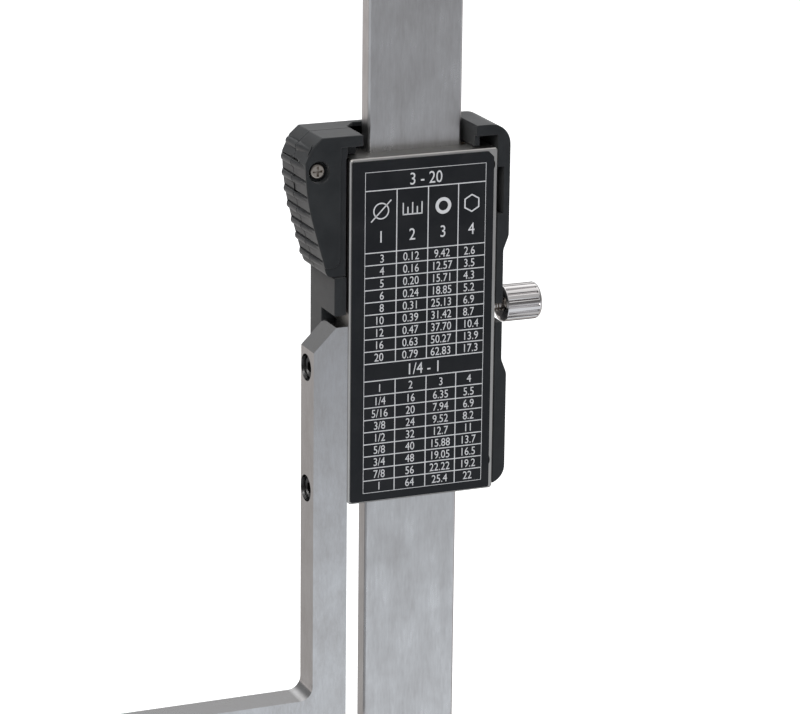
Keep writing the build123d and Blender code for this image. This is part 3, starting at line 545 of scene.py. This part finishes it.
def fitted(piece, finish, body):
    """Give a new piece its finish and the body that it rides on."""
    dress(piece, finish)
    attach(piece, body)
    return piece


for node, slot in slot_of.items():
    dress(soft.get(node, nodes[node]), slot)
print("dressed", len(slot_of), "pieces")

# %% [markdown]
# ## The lock screw
# The small screw on the slider's side is turned tight to hold a height. It is turned from bar:
# a core with a thread, a dished inner face, and a head with straight flutes for the fingers.
# Here a filled circle is pulled out ring by ring along the axis, as the lathe tool would go.
# The flutes are columns of points drawn in towards the axis, which keeps the head one mesh.

# %% Helpers for turned pieces
def outward(piece):
    """Turn every face of a closed piece outwards."""
    edit_all(piece)
    bpy.ops.mesh.normals_make_consistent(inside=False)
    done_editing()


def turned(profile, vertices, axis, name):
    """Turn a piece about a line along X through axis (y, z): profile is (x, radius) in mm,
    going to -X."""
    (x, radius), steps = profile[0], profile[1:]
    bpy.ops.mesh.primitive_circle_add(vertices=vertices, radius=radius * MM, fill_type="NGON",
                                      location=(x * MM, axis[0] * MM, axis[1] * MM),
                                      rotation=(0, math.radians(-90), 0))
    piece = settle(bpy.context.object, name)
    edit_all(piece)
    for next_x, next_radius in steps:
        move = ((next_x - x) * MM, 0, 0)
        bpy.ops.mesh.extrude_region_move(TRANSFORM_OT_translate={"value": move})
        share = next_radius / radius
        bpy.ops.transform.resize(value=(1, share, share),
                                 center_override=(next_x * MM, axis[0] * MM, axis[1] * MM))
        x, radius = next_x, next_radius
    outward(piece)
    return piece


def pull_in(piece, wanted, share, axis, sideways=None):
    """Scale the points for which wanted(point) is true towards a line along X through axis
    (y, z). Share is the scale up and down; sideways is the one across, share if not given."""
    sideways = share if sideways is None else sideways
    edit_picked(piece, "VERT", wanted)
    bpy.ops.transform.resize(value=(1, sideways, share),
                             center_override=(0, axis[0] * MM, axis[1] * MM))
    done_editing()


print("turning helpers ready")

# %% [markdown]
# The profile starts at the screw's tip and ends in the middle of the head's outer face. The
# flutes stop just short of both rims, so the rims stay round, as on a real turned head.

# %% Turn the lock screw's head and core
def middle(box, axis):
    """The middle of a node's box along X, Y or Z (0, 1 or 2), in mm."""
    return (box[0][axis] + box[1][axis]) / 2 / MM


lock_low, lock_high = lock_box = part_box("lock_screw")
lock_axis = (middle(lock_box, 1), middle(lock_box, 2))
head_radius = (lock_high[2] - lock_low[2]) / 2 / MM
tip_x = lock_high[0] / MM
head_x = lock_low[0] / MM + 7.5     # mm, the head's inner face stands close to the housing
CORE = 0.95                         # mm, radius of the threaded core
FLUTES = 18
COLUMNS = 8                         # columns of points to each flute
FLUTED = (0.45, 5.75)               # mm, where the flutes lie, from the head's inner face
FLUTE_FOOT = 0.90                   # share of the radius left in the middle of a flute
FLUTE_SIDE = 0.972                  # and beside it
head_shape = [                      # (mm from the head's inner face, radius in mm)
    (0.25, CORE), (0.18, 1.25), (0.20, 2.1), (0.02, 2.45), (0, 2.70), (-0.05, 2.80),
    (-0.28, head_radius - 0.03), (-0.38, head_radius), (-0.48, head_radius),
    (-5.72, head_radius), (-5.84, head_radius), (-6.10, 2.96), (-6.34, 2.75), (-6.50, 2.42),
    (-6.58, 1.9), (-6.60, 1.2),
]
lock_profile = [(tip_x, 0.70), (tip_x - 0.25, CORE)]
lock_profile += [(head_x + along, radius) for along, radius in head_shape]
head = turned(lock_profile, FLUTES * COLUMNS, lock_axis, "lock_head")


def column_of(point):
    """Which column of its flute a point lies in; 0 is the middle of the flute."""
    turn = math.atan2(point.z / MM - lock_axis[1], point.y / MM - lock_axis[0]) / math.tau
    return round(turn * FLUTES * COLUMNS) % COLUMNS


def on_flutes(point, columns):
    between = head_x - FLUTED[1] < point.x / MM < head_x - FLUTED[0]
    return between and column_of(point) in columns


pull_in(head, lambda point: on_flutes(point, (0,)), FLUTE_FOOT, lock_axis)
pull_in(head, lambda point: on_flutes(point, (1, COLUMNS - 1)), FLUTE_SIDE, lock_axis)
print("lock head:", len(head.data.polygons), "faces, radius", round(head_radius, 3), "mm")

# %% [markdown]
# A screw thread is a ridge that winds round a core. A small triangle is placed beside the
# axis and the Screw modifier sweeps it round, moving it one pitch along for every turn. Its
# two open ends are then filled, so that the ridge is a closed solid.

# %% Wind the thread and finish the lock screw
PITCH = 0.45                    # mm
RIDGE = 0.26                    # mm, radius of the triangle that is swept
THREAD_START = 0.25             # mm from the head's inner face
BARE = 0.6                      # mm of the core that has no thread
TURNS = int((tip_x - BARE - head_x) / PITCH)
STEPS = 24                      # to each turn
bpy.ops.mesh.primitive_circle_add(vertices=3, radius=RIDGE * MM, fill_type="NOTHING",
                                  rotation=(math.radians(90), 0, 0))
thread = settle(bpy.context.object, "lock_thread")
edit_all(thread)
bpy.ops.transform.translate(value=(0, 0, CORE * MM))
done_editing()
winding = thread.modifiers.new("winding", "SCREW")
winding.axis = "X"
winding.screw_offset = PITCH * MM
winding.iterations = TURNS
winding.steps = winding.render_steps = STEPS
apply_modifiers(thread)
edit_all(thread)
bpy.ops.mesh.fill_holes(sides=3)
done_editing()
thread.location = ((head_x + THREAD_START) * MM, lock_axis[0] * MM, lock_axis[1] * MM)
settle(thread, "lock_thread")
outward(thread)
smooth(thread, 60)
smooth(head, 25)
# The head and the thread are one turned piece, but the thread gets the darker, warmer
# screw_steel: painted shade for the shadow it lies in beside the housing.
for piece, finish in ((head, "chrome"), (thread, "screw_steel")):
    fitted(piece, finish, "lock_screw")
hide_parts("lock_screw")
print("thread turns:", TURNS)

# %% [markdown]
# The screw passes the housing through a notch in its rim. The notch is only a little wider
# than the thread, so the points of the CAD's cut are drawn in towards the screw's axis: all
# round it in front of the axis, and only up and down behind it, where the rim ends.

# %% Narrow the notch round the lock screw
CAD_NOTCH = 3.15                # mm, radius of the CAD's notch
CUT_REACH = 3.4                 # mm, how far from the axis the cut and its edge reach
CUT_SHARE = 0.5
CUT_MIDDLE = 0.02               # mm behind the axis, where the round part of the cut ends
RIM_INSIDE = -12.0              # mm, only the rim on the screw's side is touched


def by_the_cut(point, behind):
    height = abs(point.z / MM - lock_axis[1])
    across = point.y / MM - lock_axis[0]
    if point.x / MM > RIM_INSIDE or height > CUT_REACH:
        return False
    if behind:
        return across > CUT_MIDDLE
    return across <= CUT_MIDDLE and math.hypot(height, across) < CUT_REACH


housing = soft["housing_front"]
pull_in(housing, lambda point: by_the_cut(point, False), CUT_SHARE, lock_axis)
pull_in(housing, lambda point: by_the_cut(point, True), CUT_SHARE, lock_axis, sideways=1.0)
print("notch narrowed to", round(CUT_SHARE * CAD_NOTCH, 2), "mm")

# %% [markdown]
# ## Printed marks
# The slider's back carries a black sheet with a table of plain numbers in white, and the
# beam's front has a ruling under the slider. Print is a very thin film of ink. Each mark is
# made as a flat mesh and given the film's thickness, so it has edges like any other piece.

# %% Helpers for print
INK = 0.02                      # mm, how thick a printed film stands
CLEAR = 0.004                   # mm, between a surface and the print on it
FIGURE = 0.70                   # height of a figure in the built-in font at size 1
NARROW = 0.86                   # printed figures are a little narrower than that font's
LEAN = {"back": math.radians(-90), "front": math.radians(90)}   # a flat mesh about X
TEXT_TURN = {"back": math.radians(180), "front": 0.0}           # upright words about Z


def thickened(piece, depth=INK):
    """Give a flat piece a thickness, in mm, towards the side that it faces."""
    wall = piece.modifiers.new("ink", "SOLIDIFY")
    wall.thickness = depth * MM
    wall.offset = 1.0
    return apply_modifiers(piece)


def printed(words, height, place, side, align="CENTER", pitch=0.0):
    """Plain numbers, in mm: place is the first line's foot, pitch the distance between lines."""
    bpy.ops.object.text_add()
    ink = bpy.context.object
    ink.data.body = words
    ink.data.align_x = align
    ink.data.resolution_u = 3
    if pitch:
        ink.data.space_line = pitch * FIGURE / height
    only(ink)
    bpy.ops.object.convert(target="MESH")
    ink = bpy.context.object
    size = height / FIGURE * MM
    ink.scale = (size * NARROW, size, size)
    ink.rotation_euler = (math.radians(90), 0, TEXT_TURN[side])
    ink.location = [c * MM for c in place]
    return thickened(settle(ink, "figures"))


def sheet_piece(left, right, low, high, y, side):
    """A flat rectangle in mm that faces the back (+Y) or the front (-Y)."""
    centre = ((left + right) / 2 * MM, y * MM, (low + high) / 2 * MM)
    bpy.ops.mesh.primitive_plane_add(size=1.0, rotation=(LEAN[side], 0, 0), location=centre)
    piece = bpy.context.object
    piece.scale = (abs(right - left) * MM, (high - low) * MM, 1)
    return settle(piece, "sheet")


def cut_across(piece, at, normal):
    """Cut a flat piece's faces along a line, leaving both sides."""
    edit_all(piece)
    bpy.ops.mesh.bisect(plane_co=[c * MM for c in at], plane_no=normal)
    done_editing()


print("print helpers ready")

# %% [markdown]
# ### The table's rules
# A table is drawn from one rectangle: it is cut along every row and column, the title rows
# are made one cell again, every cell is inset by half a rule, and the insides are deleted.
# What is left is the network of rules in one piece, with clean crossings.

# %% Rule the table
sizes = [3, 4, 5, 6, 8, 10, 12, 16, 20]         # mm
eighths = [("1/4", 2), ("5/16", 2.5), ("3/8", 3), ("1/2", 4), ("5/8", 5), ("3/4", 6),
           ("7/8", 7), ("1", 8)]                # inches, and how many eighths they are
RULE = 0.16                                     # mm, width of a rule
SIZE_PITCH, INCH_PITCH = 2.02, 2.03             # mm, height of a row
SIZES_TOP, INCHES_TOP = 41.4, 17.96             # mm above the slider's foot
slider_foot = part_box("slider_frame")[0][2] / MM
label_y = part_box("back_label")[1][1] / MM + CLEAR
column_lines = [10.05, 4.72, -0.63, -5.80, -10.45]
row_lines = [54.4, 51.45, SIZES_TOP]
row_lines += [SIZES_TOP - SIZE_PITCH * (n + 1) for n in range(len(sizes))]
row_lines += [20.34, INCHES_TOP]
row_lines += [INCHES_TOP - INCH_PITCH * (n + 1) for n in range(len(eighths))]
row_lines = [slider_foot + height for height in row_lines]
SIZE_TITLE, FIRST_SIZE = 1, 2                   # row lines under the title and under the heads
INCH_TITLE, FIRST_INCH = 3 + len(sizes), 4 + len(sizes)

rules = sheet_piece(column_lines[-1] - RULE / 2, column_lines[0] + RULE / 2,
                    row_lines[-1] - RULE / 2, row_lines[0] + RULE / 2, label_y, "back")
for x in column_lines[1:-1]:
    cut_across(rules, (x, 0, 0), (1, 0, 0))
for z in row_lines[1:-1]:
    cut_across(rules, (0, 0, z), (0, 0, 1))
for title in (SIZE_TITLE, INCH_TITLE):
    foot, top = row_lines[title], row_lines[title - 1]
    edit_picked(rules, "FACE", lambda centre: foot < centre.z / MM < top)
    bpy.ops.mesh.dissolve_faces()
    done_editing()
edit_picked(rules, "FACE", lambda centre: True)
bpy.ops.mesh.inset(thickness=RULE / 2 * MM, depth=0, use_individual=True)
bpy.ops.mesh.delete(type="FACE")
done_editing()
thickened(rules)
print("rules:", len(rules.data.polygons), "faces")

# %% [markdown]
# ### The table's numbers
# The numbers are worked out here: round bar sizes with the same size in inches, the bar's
# girth and the widest hexagon that it yields, and below them inch fractions with their
# sixty-fourths, millimetres and hexagon. Each column is one text with a line for every row.

# %% Print the numbers
FIGURE_HEIGHT = 1.32                            # mm
INCH = 25.4                                     # mm
HEXAGON = math.cos(math.radians(30))            # across the flats, from a bar 1 across
TITLE_X = -0.2                                  # mm, the titles' middle
OVER_RULE = 0.5                                 # mm, from a rule to the figures over it


def short(value, places):
    """A number without idle noughts."""
    words = f"{value:.{places}f}"
    return words.rstrip("0").rstrip(".") if "." in words else words


def column(values, x, align, first_row, pitch):
    foot = row_lines[first_row] + (pitch - FIGURE_HEIGHT) / 2 - pitch
    return printed("\n".join(values), FIGURE_HEIGHT, (x, label_y, foot), "back", align, pitch)


size_columns = [
    ([str(n) for n in sizes], 6.75, "RIGHT"),
    ([f"{n / INCH:.2f}" for n in sizes], 3.6, "LEFT"),
    ([f"{n * math.pi:.2f}" for n in sizes], -3.1, "CENTER"),
    ([short(n * HEXAGON, 1) for n in sizes], -6.85, "LEFT"),
]
inch_columns = [
    ([words for words, n in eighths], 7.35, "CENTER"),
    ([str(int(n * 8)) for words, n in eighths], 2.05, "CENTER"),
    ([short(n / 8 * INCH, 2) for words, n in eighths], -3.2, "CENTER"),
    ([short(n / 8 * INCH * HEXAGON, 1) for words, n in eighths], -8.1, "CENTER"),
]
figures = [column(*row, FIRST_SIZE, SIZE_PITCH) for row in size_columns]
figures += [column(*row, FIRST_INCH, INCH_PITCH) for row in inch_columns]
for words, height, title in (("3 - 20", 1.95, SIZE_TITLE), ("1/4 - 1", 1.85, INCH_TITLE)):
    foot = row_lines[title] + OVER_RULE
    figures.append(printed(words, height, (TITLE_X, label_y, foot), "back"))
print("columns and titles:", len(figures))

# %% [markdown]
# ### Signs over the columns
# Small drawn signs say what a column holds: a crossed ring for a diameter, a ruler, a thick
# ring for the girth, and a hexagon. A ring is a disc whose inside is inset and deleted.

# %% Helpers for signs
def ring(centre, y, radius, width, vertices, side="back"):
    """A flat ring round centre (x, z), or a hexagon with 6 vertices, in mm."""
    bpy.ops.mesh.primitive_circle_add(vertices=vertices, radius=radius * MM, fill_type="NGON",
                                      location=(centre[0] * MM, y * MM, centre[1] * MM),
                                      rotation=(LEAN[side], 0, 0))
    piece = settle(bpy.context.object, "ring")
    edit_picked(piece, "FACE", lambda centre: True)
    bpy.ops.mesh.inset(thickness=width * MM, depth=0)
    bpy.ops.mesh.delete(type="FACE")
    done_editing()
    return thickened(piece)


def stroke(start, end, y, width, side="back"):
    """A straight stroke from start to end (x, z), in mm."""
    run = Vector((end[0] - start[0], end[1] - start[1]))
    piece = sheet_piece(-run.length / 2, run.length / 2, -width / 2, width / 2, 0, side)
    piece.rotation_euler = (0, -math.atan2(run.y, run.x), 0)
    piece.location = ((start[0] + end[0]) / 2 * MM, y * MM, (start[1] + end[1]) / 2 * MM)
    return thickened(settle(piece, "stroke"))


print("sign helpers ready")

# %% [markdown]
# A column's number stands below its sign, and again over the inches. All the print is then
# joined, because it is one layer of ink.

# %% Draw the signs and join the table
RADIUS = 1.35                   # mm, of the two rings
THIN = 0.2                      # mm, width of a sign's strokes
REACH = 1.7                     # mm, how far they reach to each side
size_x, ruler_x, girth_x, hexagon_x = [(a + b) / 2 for a, b in
                                       zip(column_lines, column_lines[1:])]
sign_z = row_lines[FIRST_SIZE] + 6.7
ruler_z = sign_z - 0.9
signs = [
    ring((size_x, sign_z), label_y, RADIUS, THIN, 48),
    stroke((size_x + REACH, sign_z - REACH), (size_x - REACH, sign_z + REACH), label_y, THIN),
    stroke((ruler_x + REACH, ruler_z), (ruler_x - REACH, ruler_z), label_y, THIN),
]
for step in range(5):
    x = ruler_x + 1.6 - 0.8 * step
    top = sign_z + (1.0 if step % 2 == 0 else 0.3)
    signs.append(stroke((x, ruler_z), (x, top), label_y, THIN))
signs.append(ring((girth_x, sign_z), label_y, RADIUS, 0.55, 48))
signs.append(ring((hexagon_x, sign_z), label_y, 1.5, 0.22, 6))
for number, x in enumerate((size_x, ruler_x, girth_x, hexagon_x), start=1):
    signs.append(printed(str(number), 1.9, (x, label_y, row_lines[FIRST_SIZE] + 1.6), "back"))
    foot = row_lines[FIRST_INCH] + OVER_RULE
    signs.append(printed(str(number), FIGURE_HEIGHT, (x, label_y, foot), "back"))
table = fitted(join([rules] + figures + signs, "back_label_print"),
               "label_print", "slider")
print("table:", len(table.data.polygons), "faces")

# %% [markdown]
# ## The front of the gauge
# The ruling under the slider lets the height be read roughly without the display. One mark is
# made for each length and the Array modifier repeats it, because a ruling is exactly that.

# %% Rule the beam's scale
RANGE = 150                     # mm
ZERO_Z = slider_foot - 60.0     # the slider stands at 60 mm in the frame
MARK = 0.12                     # mm, width of a mark
MARGIN = 0.5                    # mm, from the strip's left edge to the marks
RULING_FIGURE, RULING_X = 2.0, 2.6      # mm, the figures' height and their middle
strip_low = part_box("scale_strip")[0]
strip_y = strip_low[1] / MM - CLEAR


def marks(step, length):
    """Marks every step mm, from zero to the end of the range."""
    left = strip_low[0] / MM + MARGIN
    mark = sheet_piece(left, left + length, ZERO_Z - MARK / 2, ZERO_Z + MARK / 2, strip_y,
                       "front")
    thickened(mark)
    again = mark.modifiers.new("again", "ARRAY")
    again.use_relative_offset = False
    again.use_constant_offset = True
    again.constant_offset_displace = (0, 0, step * MM)
    again.count = RANGE // step + 1
    return apply_modifiers(mark)


ruling = [marks(1, 2.6), marks(5, 3.8), marks(10, 5.0)]
for height in range(0, RANGE + 1, 10):
    foot = ZERO_Z + height - RULING_FIGURE / 2
    ruling.append(printed(str(height), RULING_FIGURE, (RULING_X, strip_y, foot), "front"))
scale_ruling = fitted(join(ruling, "scale_ruling"), "scale_print", "base")
print("ruling:", len(scale_ruling.data.polygons), "faces")

# %% [markdown]
# The display shows figures of seven pointed bars. One bar is a hexagon that is drawn out
# lengthways, and each lit bar is a copy of it with its own mesh.

# %% Make the display's bars
DIGIT_HEIGHT = 7.0              # mm, from the top bar's middle to the lowest bar's
DIGIT_WIDTH = 3.5
BAR = 0.36                      # mm, half the width of a bar
BAR_GAP = 0.06                  # mm, from a bar's point to the corner where bars meet


def display_bar(length, upright):
    bpy.ops.mesh.primitive_circle_add(vertices=6, radius=BAR * MM, fill_type="NGON")
    bar = settle(bpy.context.object, "bar")
    stretch = (length / 2 - BAR - BAR_GAP) * MM
    for end in (1, -1):
        edit_picked(bar, "VERT", lambda point: point.y * end > 0)
        bpy.ops.transform.translate(value=(0, end * stretch, 0))
        done_editing()
    bar.rotation_euler = (math.radians(90), 0 if upright else math.radians(90), 0)
    return thickened(settle(bar, "bar"))


bar_up = display_bar(DIGIT_HEIGHT / 2, True)
bar_flat = display_bar(DIGIT_WIDTH, False)
print("bars of", len(bar_up.data.polygons), "faces")

# %% [markdown]
# The seven bars have letters, from a at the top, clockwise, to g in the middle, as on any
# such display. A figure is the list of the bars that it lights.

# %% Light the display
LIT = {"6": "afgcde", "0": "abcdef"}
DIGIT_PLACES = (-7.6, -2.8, 2.8, 7.6)   # mm across, from the panel's middle
POINT = 0.35                    # mm, half the side of the decimal point
half, quarter, side = DIGIT_HEIGHT / 2, DIGIT_HEIGHT / 4, DIGIT_WIDTH / 2
bar_places = {"a": (0, half, bar_flat), "g": (0, 0, bar_flat), "d": (0, -half, bar_flat),
              "f": (-side, quarter, bar_up), "b": (side, quarter, bar_up),
              "e": (-side, -quarter, bar_up), "c": (side, -quarter, bar_up)}
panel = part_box("display_panel")
panel_x, panel_y, panel_z = middle(panel, 0), panel[0][1] / MM - CLEAR, middle(panel, 2)
lit = []
for digit, offset in zip("6000", DIGIT_PLACES):
    for letter in LIT[digit]:
        across, up, model = bar_places[letter]
        bar = new_object("bar", model.data.copy())
        bar.location = ((panel_x + offset + across) * MM, panel_y * MM, (panel_z + up) * MM)
        lit.append(settle(bar, "bar"))
print("lit bars:", len(lit))
point_z = panel_z - half
lit.append(thickened(sheet_piece(panel_x - POINT, panel_x + POINT, point_z - POINT,
                                 point_z + POINT, panel_y, "front")))
for model in (bar_up, bar_flat):
    bpy.data.objects.remove(model)
fitted(join(lit, "display_reading"), "display_ink", "slider")

# %% [markdown]
# The keys carry plain signs: a ring with a bar through its top for power and a nought for
# setting zero. They are printed on the key's face and move with it.

# %% Print the signs on the keys
KEY_FIGURE = 2.2                # mm


def key_face(node):
    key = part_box(node)
    return middle(key, 0), key[0][1] / MM - CLEAR, middle(key, 2)


x, y, z = key_face("key_power")
power_sign = [ring((x, z), y, 1.05, 0.24, 40, "front"),
              stroke((x, z + 0.25), (x, z + 1.45), y - INK, 0.26, "front")]
x, y, z = key_face("key_zero")
zero_sign = [printed("0", KEY_FIGURE, (x, y, z - KEY_FIGURE / 2), "front")]
for key, pieces in (("key_power", power_sign), ("key_zero", zero_sign)):
    sign = fitted(join(pieces, key + "_sign"), "label_print", key)
    print(sign.name, "has", len(sign.data.polygons), "faces")

# %% [markdown]
# ## The floor and the light
# The gauge stands on a plain pale floor. Steel has no colour of its own to speak of: it shows
# the room, so the room is written into the floor and the world, which ask the Light Path what
# kind of ray has arrived. The camera sees them white. Glossy rays, and rays through glass,
# see a bright sheet behind the gauge and a greyer room round it. All other rays get an even
# light at a plain level, so that a colour renders about as it is written.

# %% Helpers for the room
def cleared(owner):
    """The node tree of a material or a world, with nothing in it."""
    owner.use_nodes = True
    owner.node_tree.nodes.clear()
    return owner.node_tree


def arriving(tree):
    """Two masks: rays from the camera, and rays from a mirror or through glass."""
    path = tree.nodes.new("ShaderNodeLightPath").outputs
    mirrored = maths(tree, "MAXIMUM", path["Is Glossy Ray"], path["Is Transmission Ray"])
    return path["Is Camera Ray"], mirrored


def shaded(tree, kind, *sources):
    """A shader node of some kind, with its sockets linked in order."""
    node = tree.nodes.new(kind)
    for socket, source in zip(node.inputs, sources):
        tree.links.new(source, socket)
    return node.outputs[0]


print("room helpers ready")

# %% [markdown]
# The floor glows a little for the camera, so it is white but keeps the gauge's shadow. In
# polished steel it is a ramp of tones from the front to the back.

# %% The floor
def make_floor():
    # 0.4 mm under the base, so that the two faces never share a place
    bpy.ops.mesh.primitive_plane_add(size=8.0, location=(0, 0, -0.0004))
    floor = settle(bpy.context.object, "floor")
    material = bpy.data.materials.new("pale_floor")
    tree = cleared(material)
    camera_ray, mirrored = arriving(tree)
    matt = tree.nodes.new("ShaderNodeBsdfDiffuse")
    matt.inputs["Color"].default_value = (0.80, 0.80, 0.80, 1)
    glow = tree.nodes.new("ShaderNodeEmission")
    connect(tree, maths(tree, "MULTIPLY", camera_ray, 0.6), glow.inputs["Strength"])
    pale = shaded(tree, "ShaderNodeAddShader", matt.outputs[0], glow.outputs[0])
    sheet = shaded(tree, "ShaderNodeEmission", mirrored_floor(tree))
    surface = shaded(tree, "ShaderNodeMixShader", mirrored, pale, sheet)
    connect(tree, surface, tree.nodes.new("ShaderNodeOutputMaterial").inputs["Surface"])
    floor.data.materials.append(material)
    return floor


def mirrored_floor(tree):
    """The floor's colour in polished steel, from 1 m before the gauge to 1 m behind it."""
    stops = [(0.19, (0.65, 0.61, 0.595)), (0.30, (0.50, 0.475, 0.46)),
             (0.50, (0.50, 0.48, 0.465)), (0.55, (0.88, 0.915, 0.955)),
             (0.62, (0.86, 0.895, 0.935)), (0.71, (0.44, 0.455, 0.48)),
             (1.0, (0.48, 0.48, 0.495))]
    place = tree.nodes.new("ShaderNodeSeparateXYZ")
    tree.links.new(object_place(tree), place.inputs[0])
    ramp = tree.nodes.new("ShaderNodeValToRGB")
    tree.links.new(ranged(tree, place.outputs["Y"], -1.0, 1.0, 0.0, 1.0), ramp.inputs[0])
    ramp.color_ramp.elements[0].position = stops[0][0]
    for where, colour in stops[1:-1]:
        ramp.color_ramp.elements.new(where)
    for stop, (where, colour) in zip(ramp.color_ramp.elements, stops):
        stop.color = (*colour, 1)
    return ramp.outputs[0]


print("floor:", make_floor().name)

# %% [markdown]
# The world has no places, only directions, so the room's walls and ceiling are levels that
# change with direction alone.

# %% The world
def make_world():
    world = bpy.data.worlds.new("studio")
    bpy.context.scene.world = world
    tree = cleared(world)
    camera_ray, mirrored = arriving(tree)
    even = tree.nodes.new("ShaderNodeBackground")
    even.inputs["Color"].default_value = (0.95, 0.97, 1.0, 1)
    even.inputs["Strength"].default_value = 0.45
    room = tree.nodes.new("ShaderNodeBackground")
    room.inputs["Color"].default_value = (1, 1, 1, 1)
    connect(tree, maths(tree, "MAXIMUM", room_level(tree), camera_ray), room.inputs["Strength"])
    seen = maths(tree, "MAXIMUM", camera_ray, mirrored)
    surface = shaded(tree, "ShaderNodeMixShader", seen, even.outputs[0], room.outputs[0])
    connect(tree, surface, tree.nodes.new("ShaderNodeOutputWorld").inputs["Surface"])
    return world


def room_level(tree):
    """How bright the room is for polished steel: darker behind the gauge and past its arm
    than in front, and darker at eye level than overhead."""
    direction = tree.nodes.new("ShaderNodeSeparateXYZ")
    tree.links.new(tree.nodes.new("ShaderNodeTexCoord").outputs["Generated"],
                   direction.inputs[0])
    past_arm = ranged(tree, direction.outputs["X"], -0.05, 0.30, 1.0, 0.62)
    behind = ranged(tree, direction.outputs["Y"], -0.25, 0.55, 1.0, 0.42)
    overhead = ranged(tree, direction.outputs["Z"], 0.38, 0.56, 0.36, 1.35)
    return maths(tree, "MULTIPLY", maths(tree, "MINIMUM", behind, past_arm), overhead)


print("world:", make_world().name)

# %% [markdown]
# Three soft lamps give the painted parts their shape. Polished steel would mirror two of
# them as white patches, so glossy rays don't see those.

# %% The lamps
def lamp(name, place, size, watts, colour=(1, 1, 1), mirrored=False):
    """A square lamp, size in metres, that points at the middle of the gauge."""
    data = bpy.data.lights.new(name, "AREA")
    data.size = size
    data.energy = watts
    data.color = colour
    light = new_object(name, data)
    aim = (Vector((0.0, 0.0, 0.14)) - Vector(place)).to_track_quat("-Z", "Y")
    light.matrix_world = Matrix.Translation(place) @ aim.to_matrix().to_4x4()
    light.visible_glossy = mirrored
    return light


lamps = [lamp("key", (0.65, 0.55, 0.95), 0.6, 8.0, (1.0, 0.985, 0.96), mirrored=True),
         lamp("fill", (-0.6, 0.9, 0.35), 0.8, 4.0, (0.96, 0.98, 1.0)),
         lamp("front", (0.3, -1.0, 0.6), 0.8, 6.0)]
bpy.context.scene.view_settings.view_transform = "Standard"
print("lamps:", [light.name for light in lamps])
